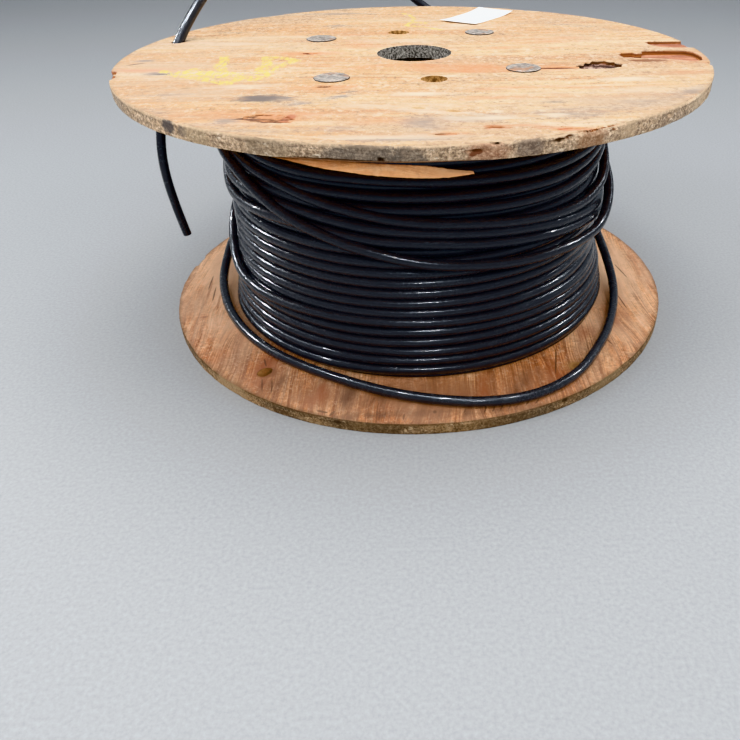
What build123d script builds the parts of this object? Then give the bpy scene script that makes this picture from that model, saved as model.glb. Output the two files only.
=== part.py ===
"""Plywood cable drum standing on its bottom flange, wound with glossy black cable.

All lengths are in millimetres. The origin is the centre of the drum's underside,
+Z runs up the arbor axis and -Y is the side that the drum is seen from.
"""
from build123d import *
import math
import os

# Flanges
flange_radius = 304.8
flange_thickness = 12.7
traverse = 248.6
arbor_radius = 39.7

# Barrel tube, let into a groove in each flange
barrel_radius = 152.4
barrel_wall = 9.5
groove_depth = 3.2
groove_clearance = 0.3

# Through bolts, inside the barrel
bolt_count = 4
bolt_start_angle = 53.7
bolt_radius = 4.8
bolt_to_barrel_gap = 6.1
bolt_hole_clearance = 0.4
bolt_head_radius = 17.8
bolt_head_thickness = 2.0
bolt_head_bevel = 0.8

# Nuts, recessed into the underside of the drum
nut_across_flats = 16.7
nut_height = 6.4
nut_recess_radius = 15.0
nut_recess_depth = 7.6
nut_thread_clearance = 0.1
bolt_end_above_floor = 1.0

# Drive holes, in line with the arbor hole
drive_count = 2
drive_start_angle = 99.0
drive_hole_radius = 12.7
drive_to_barrel_gap = 15.2

# Cable
cable_radius = 5.4
cable_sides = 10
turn_pitch = 10.4
winding_clearance = 0.3
top_turn_radius = 212.0
foot_turn_radius = 233.5
foot_flare = 2.5
turn_valley_depth = 3.1
end_valley_depth = 2.2

# Slanted holes that the cable's ends pass through, one in each flange
cable_hole_clearance = 1.4
cable_hole_rise = 49.0
top_hole_from_rim = 27.3
top_hole_place = 164.96
top_hole_azimuth = 51.0
bottom_hole_from_rim = 34.3
bottom_hole_place = 231.6
bottom_hole_azimuth = 232.0

# Damage to the upper face of the top flange: two patches where the face veneer has torn off,
# each corner given by its distance in from the +X end of the rim and its Y, and a knot hole
veneer_thickness = 3.2
long_patch = [(92, -27), (64, -20), (16, -13), (-5, -20), (-5, -52), (48, -57), (82, -49)]
short_patch = [(50, 44), (-5, 41), (-5, 14), (24, 27), (42, 37)]
knot_hole_centre = (183.0, -66.0)
knot_hole_length = 46.0
knot_hole_width = 15.0
knot_hole_depth = 4.5

# Blank paper tag on the top flange
tag_length = 105.0
tag_width = 52.0
tag_thickness = 0.4
tag_from_rim = 75.3
tag_place = 68.8
tag_angle = 32.0

underside_of_top = flange_thickness + traverse
overall_height = underside_of_top + flange_thickness
bolt_hole_radius = bolt_radius + bolt_hole_clearance
cable_hole_radius = cable_radius + cable_hole_clearance
barrel_inner_radius = barrel_radius - barrel_wall
bolt_circle_radius = barrel_inner_radius - bolt_to_barrel_gap - bolt_radius
drive_circle_radius = barrel_inner_radius - drive_to_barrel_gap - drive_hole_radius

floor_plane = Plane.XY
bottom_inner_plane = Plane.XY.offset(flange_thickness)
top_inner_plane = Plane.XY.offset(underside_of_top)
top_face_plane = Plane.XY.offset(overall_height)


def flange_outline():
    """Disc with its arbor hole, bolt holes and drive holes."""
    Circle(flange_radius)
    Circle(arbor_radius, mode=Mode.SUBTRACT)
    with PolarLocations(bolt_circle_radius, bolt_count, bolt_start_angle):
        Circle(bolt_hole_radius, mode=Mode.SUBTRACT)
    with PolarLocations(drive_circle_radius, drive_count, drive_start_angle):
        Circle(drive_hole_radius, mode=Mode.SUBTRACT)


def groove_outline():
    """Ring that takes the end of the barrel tube, a little wider than its wall."""
    Circle(barrel_radius + groove_clearance)
    Circle(barrel_inner_radius - groove_clearance, mode=Mode.SUBTRACT)


def on_flange(from_rim, place):
    """X and Y of a point on a flange, by its distance in from the rim and its angle."""
    radius = flange_radius - from_rim
    return radius * math.cos(math.radians(place)), radius * math.sin(math.radians(place))


def slanted_plane(centre, height, azimuth):
    """Plane across a cable hole that rises towards the given azimuth."""
    flat = math.cos(math.radians(cable_hole_rise))
    direction = Vector(
        flat * math.cos(math.radians(azimuth)),
        flat * math.sin(math.radians(azimuth)),
        math.sin(math.radians(cable_hole_rise)),
    )
    return Plane(origin=(*centre, height), z_dir=direction)


# Bottom flange
with BuildPart() as bottom_flange:
    with BuildSketch(floor_plane):
        flange_outline()
    extrude(amount=flange_thickness)
    with BuildSketch(bottom_inner_plane):
        groove_outline()
    extrude(amount=-groove_depth, mode=Mode.SUBTRACT)
    with BuildSketch(floor_plane):
        with PolarLocations(bolt_circle_radius, bolt_count, bolt_start_angle):
            Circle(nut_recess_radius)
    extrude(amount=nut_recess_depth, mode=Mode.SUBTRACT)
    bottom_hole = on_flange(bottom_hole_from_rim, bottom_hole_place)
    with BuildSketch(slanted_plane(bottom_hole, flange_thickness, bottom_hole_azimuth)):
        Circle(cable_hole_radius)
    extrude(amount=3 * flange_thickness, both=True, mode=Mode.SUBTRACT)
bottom_flange.part.label = "bottom_flange"

# Top flange, with its torn veneer
with BuildPart() as top_flange:
    with BuildSketch(top_inner_plane):
        flange_outline()
    extrude(amount=flange_thickness)
    with BuildSketch(top_inner_plane):
        groove_outline()
    extrude(amount=groove_depth, mode=Mode.SUBTRACT)
    top_hole = on_flange(top_hole_from_rim, top_hole_place)
    with BuildSketch(slanted_plane(top_hole, overall_height, top_hole_azimuth)):
        Circle(cable_hole_radius)
    extrude(amount=3 * flange_thickness, both=True, mode=Mode.SUBTRACT)
    with BuildSketch(top_face_plane):
        for patch in (long_patch, short_patch):
            with BuildLine():
                Polyline([(flange_radius - inset, y) for inset, y in patch], close=True)
            make_face()
    extrude(amount=-veneer_thickness, mode=Mode.SUBTRACT)
    with BuildSketch(top_face_plane):
        with Locations(knot_hole_centre):
            Ellipse(knot_hole_length / 2, knot_hole_width / 2)
    extrude(amount=-knot_hole_depth, mode=Mode.SUBTRACT)
top_flange.part.label = "top_flange"

# Barrel tube
with BuildPart() as barrel_tube:
    with BuildSketch(bottom_inner_plane.offset(-groove_depth)):
        Circle(barrel_radius)
        Circle(barrel_inner_radius, mode=Mode.SUBTRACT)
    extrude(amount=traverse + 2 * groove_depth)
barrel_tube.part.label = "barrel_tube"

# Winding: a turned solid, ridged by its turns on the outside and by its layers on the upper end.
# Its lower end is seated flat on the bottom flange.
winding_bore_radius = barrel_radius + winding_clearance
turns_up = int(traverse / turn_pitch)
winding_top = flange_thickness + turns_up * turn_pitch
layers_at_top = round((top_turn_radius - winding_bore_radius) / (2 * cable_radius))


def crest_radius(turn):
    """Outer radius of one turn: the winding flares out towards its foot."""
    height_share = turn / (turns_up - 1)
    return top_turn_radius + (foot_turn_radius - top_turn_radius) * (1 - height_share) ** foot_flare


side_points = []
for turn in range(turns_up):
    base = flange_thickness + turn * turn_pitch
    side_points.append((crest_radius(turn) - turn_valley_depth, base))
    side_points.append((crest_radius(turn), base + turn_pitch / 2))

end_points = []
end_width = top_turn_radius - turn_valley_depth - winding_bore_radius
for layer in range(layers_at_top):
    inner_valley = winding_bore_radius + layer * end_width / layers_at_top
    end_points.append((inner_valley, winding_top - end_valley_depth))
    end_points.append((inner_valley + end_width / layers_at_top / 2, winding_top))
end_points.append((winding_bore_radius + end_width, winding_top - end_valley_depth))

with BuildPart() as cable_winding:
    with BuildSketch(Plane.XZ):
        with BuildLine():
            Polyline((winding_bore_radius, flange_thickness), *side_points, *end_points[::-1], close=True)
        make_face()
    revolve(axis=Axis.Z)
cable_winding.part.label = "cable_winding"

# Through bolts and their nuts
bolt_angles = [bolt_start_angle + step * 360 / bolt_count for step in range(bolt_count)]
bolt_length = overall_height - bolt_end_above_floor
bolts = []
nuts = []
for number, angle in enumerate(bolt_angles, start=1):
    bolt_x = bolt_circle_radius * math.cos(math.radians(angle))
    bolt_y = bolt_circle_radius * math.sin(math.radians(angle))
    bolt_axis = Plane(origin=(bolt_x, bolt_y, 0))

    with BuildPart() as reel_bolt:
        with BuildSketch(bolt_axis.offset(bolt_end_above_floor)):
            Circle(bolt_radius)
        extrude(amount=bolt_length)
        with BuildSketch(bolt_axis.offset(overall_height)):
            Circle(bolt_head_radius)
        extrude(amount=bolt_head_thickness)
        chamfer(reel_bolt.edges().sort_by(Axis.Z)[-1], bolt_head_bevel)
    reel_bolt.part.label = f"reel_bolt_{number}"
    bolts.append(reel_bolt.part)

    with BuildPart() as reel_nut:
        with BuildSketch(bolt_axis.offset(nut_recess_depth)):
            RegularPolygon(nut_across_flats / 2, 6, major_radius=False)
            Circle(bolt_radius + nut_thread_clearance, mode=Mode.SUBTRACT)
        extrude(amount=-nut_height)
    reel_nut.part.label = f"reel_nut_{number}"
    nuts.append(reel_nut.part)

# Blank paper tag
with BuildPart() as paper_tag:
    with BuildSketch(top_face_plane):
        with Locations(Location((*on_flange(tag_from_rim, tag_place), 0), tag_angle)):
            Rectangle(tag_length, tag_width)
    extrude(amount=tag_thickness)
paper_tag.part.label = "paper_tag"


def cable_section():
    """Flat-sided section with the same area as the round cable."""
    side_angle = 2 * math.pi / cable_sides
    area_factor = math.sqrt(2 * math.pi / (cable_sides * math.sin(side_angle)))
    RegularPolygon(cable_radius * area_factor, cable_sides)


def cable_path(route):
    """Straight runs joined by arcs, each as large as its two runs allow."""
    corners = [Vector(*point) for point in route]
    runs = [after - before for before, after in zip(corners, corners[1:])]
    radii = []
    for incoming, outgoing in zip(runs, runs[1:]):
        half_turn = math.radians(incoming.get_angle(outgoing)) / 2
        shorter = min(incoming.length, outgoing.length)
        radii.append(0.45 * shorter / math.tan(half_turn))
    return FilletPolyline(*corners, radius=radii), radii


# Free end of the cable: leaves the winding at the back, arches over the top flange and
# goes down through its slanted hole
tail_route = [
    (216, -47, 190),
    (225, 40, 210),
    (200, 130, 223),
    (150, 228, 231),
    (88, 304, 238),
    (12, 340, 268),
    (-62, 312, 336),
    (-140, 232, 369),
    (-212, 142, 344),
    (-256.6, 86.1, 294.8),
    (-286.4, 49.3, 240.5),
    (-302, 22, 178),
    (-303, 18, 120),
    (-298, 26, 64),
]
with BuildPart() as cable_tail:
    with BuildLine():
        tail_path, tail_radii = cable_path(tail_route)
    with BuildSketch(Plane(origin=tail_path @ 0, z_dir=tail_path % 0)):
        cable_section()
    sweep()
cable_tail.part.label = "cable_tail"

# Slack turn that has slipped down and lies on the bottom flange
loose_height = flange_thickness + cable_radius + 0.2
loose_route = [
    (229, 52, 66),
    (238, 20, 48),
    (243, -18, 32),
    (241, -62, loose_height + 4),
    (230, -106, loose_height),
    (213, -152, loose_height),
    (190, -195, loose_height),
    (161, -238, loose_height),
    (116, -270, loose_height),
    (66, -280, loose_height),
    (18, -275, loose_height),
    (-30, -262, loose_height),
    (-77, -240, loose_height),
    (-123, -213, loose_height),
    (-166, -181, loose_height),
    (-201, -140, loose_height),
    (-227, -95, loose_height),
    (-245, -47, loose_height + 2),
    (-254, 3, loose_height + 9),
    (-251, 50, loose_height + 22),
]
with BuildPart() as cable_loose_turn:
    with BuildLine():
        loose_path, loose_radii = cable_path(loose_route)
    with BuildSketch(Plane(origin=loose_path @ 0, z_dir=loose_path % 0)):
        cable_section()
    sweep()
cable_loose_turn.part.label = "cable_loose_turn"

os.makedirs("parts", exist_ok=True)
pieces = [bottom_flange.part, top_flange.part, barrel_tube.part, cable_winding.part]
pieces += [cable_tail.part, cable_loose_turn.part, paper_tag.part] + bolts + nuts
for piece in pieces:
    export_step(piece, f"parts/{piece.label}.step")

for name, path, part, radii in (
    ("cable_tail", tail_path, cable_tail.part, tail_radii),
    ("cable_loose_turn", loose_path, cable_loose_turn.part, loose_radii),
):
    expected = math.pi * cable_radius**2 * path.length
    print(name, "length", round(path.length, 1), "volume over expected", round(part.volume / expected, 4))
    print(name, "bend radii", [round(radius) for radius in radii])
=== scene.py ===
"""Looks of a plywood cable drum wound with glossy black cable.

Lengths are in metres and angles in degrees, in the frame's own axes: +Z runs up the arbor axis,
and the drum is seen from -Y. Tables of places on the drum hold millimetres. A colour of three
parts holds screen values up to 255, and one of four parts is linear.
"""

import math

import bpy
import numpy as np
from mathutils import Matrix, Vector, noise
from mathutils.geometry import delaunay_2d_cdt


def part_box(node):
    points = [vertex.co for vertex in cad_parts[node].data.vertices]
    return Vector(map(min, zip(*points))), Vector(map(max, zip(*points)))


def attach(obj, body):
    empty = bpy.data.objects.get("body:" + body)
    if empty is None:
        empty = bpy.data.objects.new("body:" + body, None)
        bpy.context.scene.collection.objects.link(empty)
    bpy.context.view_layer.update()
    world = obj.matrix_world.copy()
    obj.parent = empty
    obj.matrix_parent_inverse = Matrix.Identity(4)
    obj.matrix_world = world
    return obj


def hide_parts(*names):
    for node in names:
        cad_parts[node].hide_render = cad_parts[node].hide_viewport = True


MM = 0.001

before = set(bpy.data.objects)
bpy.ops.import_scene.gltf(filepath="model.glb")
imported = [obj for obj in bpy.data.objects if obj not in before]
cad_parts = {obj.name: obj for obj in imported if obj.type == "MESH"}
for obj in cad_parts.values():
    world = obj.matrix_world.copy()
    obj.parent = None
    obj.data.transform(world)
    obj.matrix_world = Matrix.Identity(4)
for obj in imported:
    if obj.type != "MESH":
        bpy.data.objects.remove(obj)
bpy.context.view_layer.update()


# Places read from the frame
def node_span(name):
    """Lowest and highest corner of a CAD node."""
    low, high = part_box(name)
    return Vector(low), Vector(high)


bottom_low, bottom_high = node_span("bottom_flange")
top_low, top_high = node_span("top_flange")
tube_low, tube_high = node_span("barrel_tube")

FLANGE_RADIUS = (top_high.x - top_low.x) / 2
FLANGE_THICKNESS = bottom_high.z - bottom_low.z
DRUM_TOP = top_high.z
TOP_UNDERSIDE = top_low.z
WINDING_FOOT = bottom_high.z
WINDING_TOP = node_span("cable_winding")[1].z
BARREL_RADIUS = (tube_high.x - tube_low.x) / 2
BARREL_WALL = 9.5 * MM
GROOVE_DEPTH = WINDING_FOOT - tube_low.z
GROOVE_GAP = 0.3 * MM
ARBOR_RADIUS = 39.7 * MM
BOLT_CIRCLE = 132.0 * MM
BOLT_HOLE_RADIUS = 5.2 * MM
BOLT_ANGLES = [53.7, 143.7, 233.7, 323.7]
DRIVE_CIRCLE = 115.0 * MM
DRIVE_RADIUS = 12.7 * MM
DRIVE_ANGLES = [99.0, 279.0]
NUT_RECESS_RADIUS = 15.0 * MM
NUT_RECESS_DEPTH = 7.6 * MM
CABLE_RADIUS = 5.4 * MM
CABLE_HOLE_RADIUS = 6.8 * MM
CABLE_HOLE_RISE = 49.0
TURN_PITCH = 10.4 * MM


def polar(radius, angle, height=0.0):
    """Point from its radius and angle about the arbor axis."""
    turn = math.radians(angle)
    return Vector((radius * math.cos(turn), radius * math.sin(turn), height))


def flat_polar(radius, angle):
    """X and Y of a point, from its radius and angle about the arbor axis."""
    return tuple(polar(radius, angle))[:2]


def angle_between(angle, place):
    """Turn from a place to an angle, between -180 and 180."""
    return (angle - place + 180) % 360 - 180


def smooth_noise(x, y, z=0.0, seed=0):
    """Noise between -1 and 1."""
    return noise.noise(Vector((x + 17.3 * seed, y - 9.1 * seed, z + 4.7 * seed)))


def in_metres(corners):
    """Corners given in millimetres."""
    return [(x * MM, y * MM) for x, y in corners]


def linear(colour):
    """Linear colour from three screen values. Anything else is returned as it is."""
    if not isinstance(colour, tuple) or len(colour) != 3:
        return colour
    parts = []
    for part in colour:
        share = part / 255
        parts.append(share / 12.92 if share <= 0.04045 else ((share + 0.055) / 1.055) ** 2.4)
    return (*parts, 1.0)


# Node helpers
class Shader:
    """A material's node tree, with short calls for the nodes that this scene uses."""

    def __init__(self, name):
        self.material = bpy.data.materials.new(name)
        self.material.use_nodes = True
        self.tree = self.material.node_tree
        self.surface = self.tree.nodes["Principled BSDF"]
        self.place = self.add("ShaderNodeTexCoord").outputs["Object"]

    def add(self, kind, settings=None, **inputs):
        """New node, its settings and inputs given by name."""
        node = self.tree.nodes.new(kind)
        for key, value in (settings or {}).items():
            setattr(node, key, value)
        for key, value in inputs.items():
            self.feed(node.inputs[key.replace("_", " ")], value)
        return node

    def feed(self, socket, value):
        """Links a socket to another one, or gives it a value."""
        if isinstance(value, bpy.types.NodeSocket):
            self.tree.links.new(value, socket)
        else:
            socket.default_value = value

    def math(self, operation, first, second=0.0, third=0.0):
        """Math node."""
        node = self.add("ShaderNodeMath", {"operation": operation})
        for socket, value in zip(node.inputs, (first, second, third)):
            self.feed(socket, value)
        return node.outputs[0]

    def times(self, first, second):
        """Product of two values."""
        return self.math("MULTIPLY", first, second)

    def stretch(self, scale, rotation=0.0, place=None):
        """Object coordinates, scaled along each axis."""
        node = self.add("ShaderNodeMapping", Scale=scale, Rotation=(0, 0, math.radians(rotation)))
        self.feed(node.inputs["Vector"], place or self.place)
        return node.outputs[0]

    def length(self, vector):
        """Length of a vector."""
        node = self.add("ShaderNodeVectorMath", {"operation": "LENGTH"})
        self.feed(node.inputs[0], vector)
        return node.outputs["Value"]

    def upward(self, vector):
        """Z of a vector."""
        node = self.add("ShaderNodeSeparateXYZ")
        self.feed(node.inputs[0], vector)
        return node.outputs["Z"]

    def noise(self, scale, detail, roughness, place=None):
        """Noise between 0 and 1, of one scale or of a scale for each axis."""
        if isinstance(scale, tuple):
            place = self.stretch(scale, place=place)
            scale = 1.0
        node = self.add("ShaderNodeTexNoise", Scale=scale, Detail=detail, Roughness=roughness)
        self.feed(node.inputs["Vector"], place or self.place)
        return node.outputs["Fac"]

    def fray(self):
        """Noise that all ragged edges of a material share."""
        self.ragged = self.noise(75.0, 6, 0.72)

    def ramp(self, value, *stops):
        """Colour ramp, its stops given as (place, colour)."""
        node = self.add("ShaderNodeValToRGB")
        elements = node.color_ramp.elements
        while len(elements) < len(stops):
            elements.new(0.5)
        for element, (place, colour) in zip(elements, stops):
            element.position = place
            element.color = linear(colour)
        self.feed(node.inputs[0], value)
        return node.outputs["Color"]

    def span(self, value, low, high, interpolation="SMOOTHSTEP", start=0.0, end=1.0):
        """Value taken from low..high to start..end."""
        node = self.add("ShaderNodeMapRange", {"interpolation_type": interpolation})
        for key, number in (
            ("Value", value), ("From Min", low), ("From Max", high), ("To Min", start), ("To Max", end),
        ):
            self.feed(node.inputs[key], number)
        return node.outputs[0]

    def mix(self, share, first, second):
        """Mix of two colours."""
        node = self.add("ShaderNodeMix", {"data_type": "RGBA"})
        for socket, value in ((node.inputs[0], share), (node.inputs[6], first), (node.inputs[7], second)):
            self.feed(socket, linear(value))
        return node.outputs[2]

    def tint(self, colour, pattern, low, high, share, tone):
        """Colour with a tone laid over it where a pattern goes from low to high."""
        return self.mix(self.times(self.span(pattern, low, high), share), colour, tone)

    def bump(self, height, strength, distance, below=None):
        """Bump node."""
        node = self.add("ShaderNodeBump", Height=height, Strength=strength, Distance=distance)
        if below:
            self.feed(node.inputs["Normal"], below)
        return node.outputs[0]

    def painted(self, name):
        """Value painted on the mesh's points."""
        return self.add("ShaderNodeAttribute", {"attribute_name": name}).outputs["Fac"]

    def set(self, **inputs):
        """Inputs of the surface shader."""
        for key, value in inputs.items():
            self.feed(self.surface.inputs[key.replace("_", " ")], value)


# Meshes
def mesh_piece(name, points, faces, material, smooth=True):
    """New mesh object in the scene."""
    mesh = bpy.data.meshes.new(name)
    mesh.from_pydata([tuple(point) for point in points], [], [tuple(face) for face in faces])
    mesh.update()
    if smooth:
        mesh.shade_smooth()
    else:
        mesh.shade_flat()
    mesh.materials.append(material)
    piece = bpy.data.objects.new(name, mesh)
    bpy.context.scene.collection.objects.link(piece)
    return piece


def stand_for(piece, node):
    """Lets a piece take the place of a CAD node."""
    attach(piece, "root")
    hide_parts(node)


# Flanges: flat plates meshed from their outlines, with relief cut into each face
RIM_STEPS = 1300
RIM_LEVELS = 13
HOLE_LEVELS = 6
WALL_INSET = 0.4 * MM
PLY_COUNT = 5
UPPER_KIND, EDGE_KIND, LOWER_KIND = range(3)
# A line of a patch ends on the rim where it comes within this of the rim
RIM_BAND = 1.2 * MM
# Points of such a line beyond the rim are put aside, this share of their way out from the axis
PUT_ASIDE = 1e-6
SAME_PLACE = 1e-7
CHECKED_BAND = 4 * MM
FILL_SPACING = 4.6 * MM
FILL_TO_RIM = 9 * MM
FINE_SPACING = 1.5 * MM
FINE_TO_RIM = 2.5 * MM
# Rings of loose points near the rim: distance from the rim, and number of points
FILL_RINGS = ((1.4 * MM, 900), (3.4 * MM, 700), (6.5 * MM, 420))
WORN_BAND = 3.2 * MM


class Relief:
    """A low patch in a face of a plate: its outline, its depth and how rough its floor is."""

    def __init__(self, outline, depth=0.0, rough=0.0, hole=None):
        self.outline = outline
        self.depth = depth
        self.rough = rough
        self.hole = hole
        xs, ys = zip(*outline)
        self.left, self.right, self.front, self.back = min(xs), max(xs), min(ys), max(ys)

    def holds(self, x, y):
        """Whether a place lies in the patch."""
        if not (self.left <= x <= self.right and self.front <= y <= self.back):
            return False
        return inside(self.outline, x, y) and not (self.hole and inside(self.hole, x, y))


def inside(outline, x, y):
    """Whether a point lies inside a closed outline."""
    found = False
    before = outline[-1]
    for corner in outline:
        if (corner[1] > y) != (before[1] > y):
            if x < (before[0] - corner[0]) * (y - corner[1]) / (before[1] - corner[1]) + corner[0]:
                found = not found
        before = corner
    return found


def ring(centre, radius, steps, second_radius=None, turn=0.0):
    """Closed ellipse as a list of points."""
    second_radius = second_radius or radius
    points = []
    for step in range(steps):
        angle = 2 * math.pi * step / steps
        along = radius * math.cos(angle)
        across = second_radius * math.sin(angle)
        points.append((
            centre[0] + along * math.cos(turn) - across * math.sin(turn),
            centre[1] + along * math.sin(turn) + across * math.cos(turn),
        ))
    return points


def ragged(corners, spacing, jitter, seed):
    """Closed outline through corners, cut into short steps and moved about like torn wood."""
    points = []
    for (x0, y0), (x1, y1) in zip(corners, corners[1:] + corners[:1]):
        steps = max(1, round(math.hypot(x1 - x0, y1 - y0) / spacing))
        for step in range(steps):
            share = step / steps
            x = x0 + (x1 - x0) * share
            y = y0 + (y1 - y0) * share
            x += jitter * 2.2 * smooth_noise(x * 160, y * 500, 0, seed)
            y += jitter * smooth_noise(x * 220, y * 260, 3, seed)
            points.append((x, y))
    return points


def shrink(outline, distance):
    """Outline moved inwards."""
    area = sum(a[0] * b[1] - b[0] * a[1] for a, b in zip(outline, outline[1:] + outline[:1]))
    side = 1 if area > 0 else -1
    points = []
    for index, (x, y) in enumerate(outline):
        before = outline[index - 1]
        after = outline[(index + 1) % len(outline)]
        run_x = after[0] - before[0]
        run_y = after[1] - before[1]
        length = math.hypot(run_x, run_y) or 1.0
        points.append((x - side * run_y / length * distance, y + side * run_x / length * distance))
    return points


class Plate:
    """Mesh of one flange."""

    def __init__(self, name, low, high, rim, holes, upper, lower, seed):
        self.name = name
        self.low = low
        self.high = high
        self.rim = rim
        self.holes = holes
        self.seed = seed
        self.points = []
        self.faces = []
        self.face_kinds = []
        upper_loops = self.face(upper, True)
        lower_loops = self.face(lower, False)
        self.rim_wall(upper_loops[0], lower_loops[0])
        for upper_loop, lower_loop in zip(upper_loops[1:], lower_loops[1:]):
            self.hole_wall(upper_loop, lower_loop)

    def rim_place(self, step, share):
        """Point of the rim, from the upper edge at share 0 to the lower edge at share 1."""
        angle = 360 * step / RIM_STEPS
        drop, radius = self.rim(angle, share)
        height = self.high - share * (self.high - self.low) - drop
        return polar(radius, angle, height)

    def face(self, reliefs, is_upper):
        """Triangles of one face. Returns its rim loop and hole loops as point numbers."""
        side = 0 if is_upper else 1
        rim_points = [self.rim_place(step, side) for step in range(RIM_STEPS)]
        flat = [(point.x, point.y) for point in rim_points]
        loops = [list(range(RIM_STEPS))]
        holes = [Relief(hole[side]) for hole in self.holes]
        for hole in holes:
            first = len(flat)
            flat += hole.outline
            loops.append(list(range(first, len(flat))))
        edges = []
        for loop in loops:
            edges += zip(loop, loop[1:] + loop[:1])
        levels = {}
        for number, relief in enumerate(reliefs):
            for outline, inset in ((relief.outline, WALL_INSET), ((relief.hole or [])[::-1], -WALL_INSET)):
                for line, level in ((outline, None), (shrink(outline, inset), number)):
                    self.cut_line(line, level, relief, flat, edges, levels, rim_points)
        flat += self.filler(reliefs)
        result = delaunay_2d_cdt([Vector(point) for point in flat], edges, [], 0, SAME_PLACE)
        places, _, triangles, origins = result[:4]
        new_index = {}
        offset = len(self.points)
        for index, ((x, y), sources) in enumerate(zip(places, origins)):
            for source in sources:
                new_index[source] = index
            source = min(sources) if sources else None
            height = self.level(x, y, source, levels, reliefs, is_upper, rim_points)
            self.points.append(Vector((x, y, height)))
        for triangle in triangles:
            x = sum(places[i][0] for i in triangle) / 3
            y = sum(places[i][1] for i in triangle) / 3
            at_rim = math.hypot(x, y) > FLANGE_RADIUS - CHECKED_BAND
            if at_rim and not inside(self.near_rim(rim_points, x, y), x, y):
                continue
            if any(hole.holds(x, y) for hole in holes):
                continue
            corners = [offset + i for i in triangle]
            self.faces.append(corners if is_upper else corners[::-1])
            self.face_kinds.append(UPPER_KIND if is_upper else LOWER_KIND)
        return [[offset + new_index[i] for i in loop] for loop in loops]

    def cut_line(self, line, level, relief, flat, edges, levels, rim_points):
        """Adds the points and edges of one line of a patch, led to the rim where it leaves the plate."""
        first = len(flat)
        kept = [math.hypot(x, y) < FLANGE_RADIUS - RIM_BAND for x, y in line]
        for (x, y), stays in zip(line, kept):
            levels[len(flat)] = level
            flat.append((x, y) if stays else (x * PUT_ASIDE, y * PUT_ASIDE))
        for i in range(len(line)):
            j = (i + 1) % len(line)
            if kept[i] and kept[j]:
                edges.append((first + i, first + j))
            elif kept[i] or kept[j]:
                last = i if kept[i] else j
                on_rim = self.nearest_rim(rim_points, line[last], relief, level is not None)
                edges.append((first + last, on_rim))

    def near_rim(self, rim_points, x, y):
        """Wedge of the plate from its centre to the rim points near a place."""
        step = round(math.degrees(math.atan2(y, x)) * RIM_STEPS / 360)
        near = [rim_points[(step + shift) % RIM_STEPS] for shift in range(-4, 5)]
        return [Vector((0, 0, 0))] + near

    def nearest_rim(self, rim_points, place, relief, wanted):
        """Number of the rim point nearest to a place, in the patch or out of it."""
        step = round(math.degrees(math.atan2(place[1], place[0])) * RIM_STEPS / 360)
        best = None
        for shift in range(-9, 10):
            number = (step + shift) % RIM_STEPS
            point = rim_points[number]
            if relief.holds(point.x, point.y) == wanted:
                distance = (point.x - place[0]) ** 2 + (point.y - place[1]) ** 2
                if best is None or distance < best[0]:
                    best = (distance, number)
        return best[1] if best else step % RIM_STEPS

    def filler(self, reliefs):
        """Loose points that let each face carry its relief."""
        points = []
        rows = int(2 * FLANGE_RADIUS / FILL_SPACING)
        for row in range(rows):
            for column in range(rows):
                x = -FLANGE_RADIUS + (column + 0.5 * (row % 2) + 0.3) * FILL_SPACING
                y = -FLANGE_RADIUS + (row + 0.3) * FILL_SPACING
                if math.hypot(x, y) < FLANGE_RADIUS - FILL_TO_RIM:
                    points.append((x, y))
        for inset, steps in FILL_RINGS:
            for step in range(steps):
                angle = 360 * (step + 0.37) / steps
                wander = 0.5 * MM * smooth_noise(angle, inset * 900, 0, self.seed)
                points.append(flat_polar(FLANGE_RADIUS - inset + wander, angle))
        for relief in reliefs:
            if not relief.rough:
                continue
            for column in range(int((relief.right - relief.left) / FINE_SPACING)):
                for row in range(int((relief.back - relief.front) / FINE_SPACING)):
                    x = relief.left + (column + 0.31) * FINE_SPACING
                    y = relief.front + (row + 0.37) * FINE_SPACING
                    if math.hypot(x, y) < FLANGE_RADIUS - FINE_TO_RIM and relief.holds(x, y):
                        points.append((x, y))
        return points

    def level(self, x, y, source, levels, reliefs, is_upper, rim_points):
        """Height of one point of a face."""
        if source is not None and source < RIM_STEPS:
            surface = rim_points[source].z
        else:
            angle = math.degrees(math.atan2(y, x)) % 360
            edge_drop = self.rim(angle, 0 if is_upper else 1)[0]
            fade = max(0.0, 1 - (FLANGE_RADIUS - math.hypot(x, y)) / WORN_BAND) ** 2
            surface = (self.high if is_upper else self.low) - edge_drop * fade
        found = None
        if source in levels:
            found = levels[source]
        else:
            for number, relief in enumerate(reliefs):
                if relief.holds(x, y):
                    found = number
        if found is None:
            return surface
        wide = smooth_noise(x * 60, y * 420, 0, self.seed)
        fine = smooth_noise(x * 300, y * 700, 5, self.seed)
        depth = reliefs[found].depth + reliefs[found].rough * (0.6 * wide + 0.4 * fine)
        return surface - depth if is_upper else surface + depth

    def rim_wall(self, upper, lower):
        """Edge of the plate between its two faces."""
        rows = [upper]
        for level in range(1, RIM_LEVELS):
            share = level / RIM_LEVELS
            row = []
            for step in range(RIM_STEPS):
                point = self.rim_place(step, share)
                top = self.points[upper[step]].z
                bottom = self.points[lower[step]].z
                point.z = top + (bottom - top) * share
                row.append(len(self.points))
                self.points.append(point)
            rows.append(row)
        self.join(rows + [lower])

    def hole_wall(self, upper, lower):
        """Wall of a hole."""
        rows = [upper]
        for level in range(1, HOLE_LEVELS):
            row = []
            for top, bottom in zip(upper, lower):
                row.append(len(self.points))
                self.points.append(self.points[top].lerp(self.points[bottom], level / HOLE_LEVELS))
            rows.append(row)
        self.join(rows + [lower])

    def join(self, rows):
        """Faces between rows of points round an edge."""
        for above, below in zip(rows, rows[1:]):
            for i in range(len(above)):
                j = (i + 1) % len(above)
                self.faces.append((above[i], below[i], below[j], above[j]))
                self.face_kinds.append(EDGE_KIND)

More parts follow.
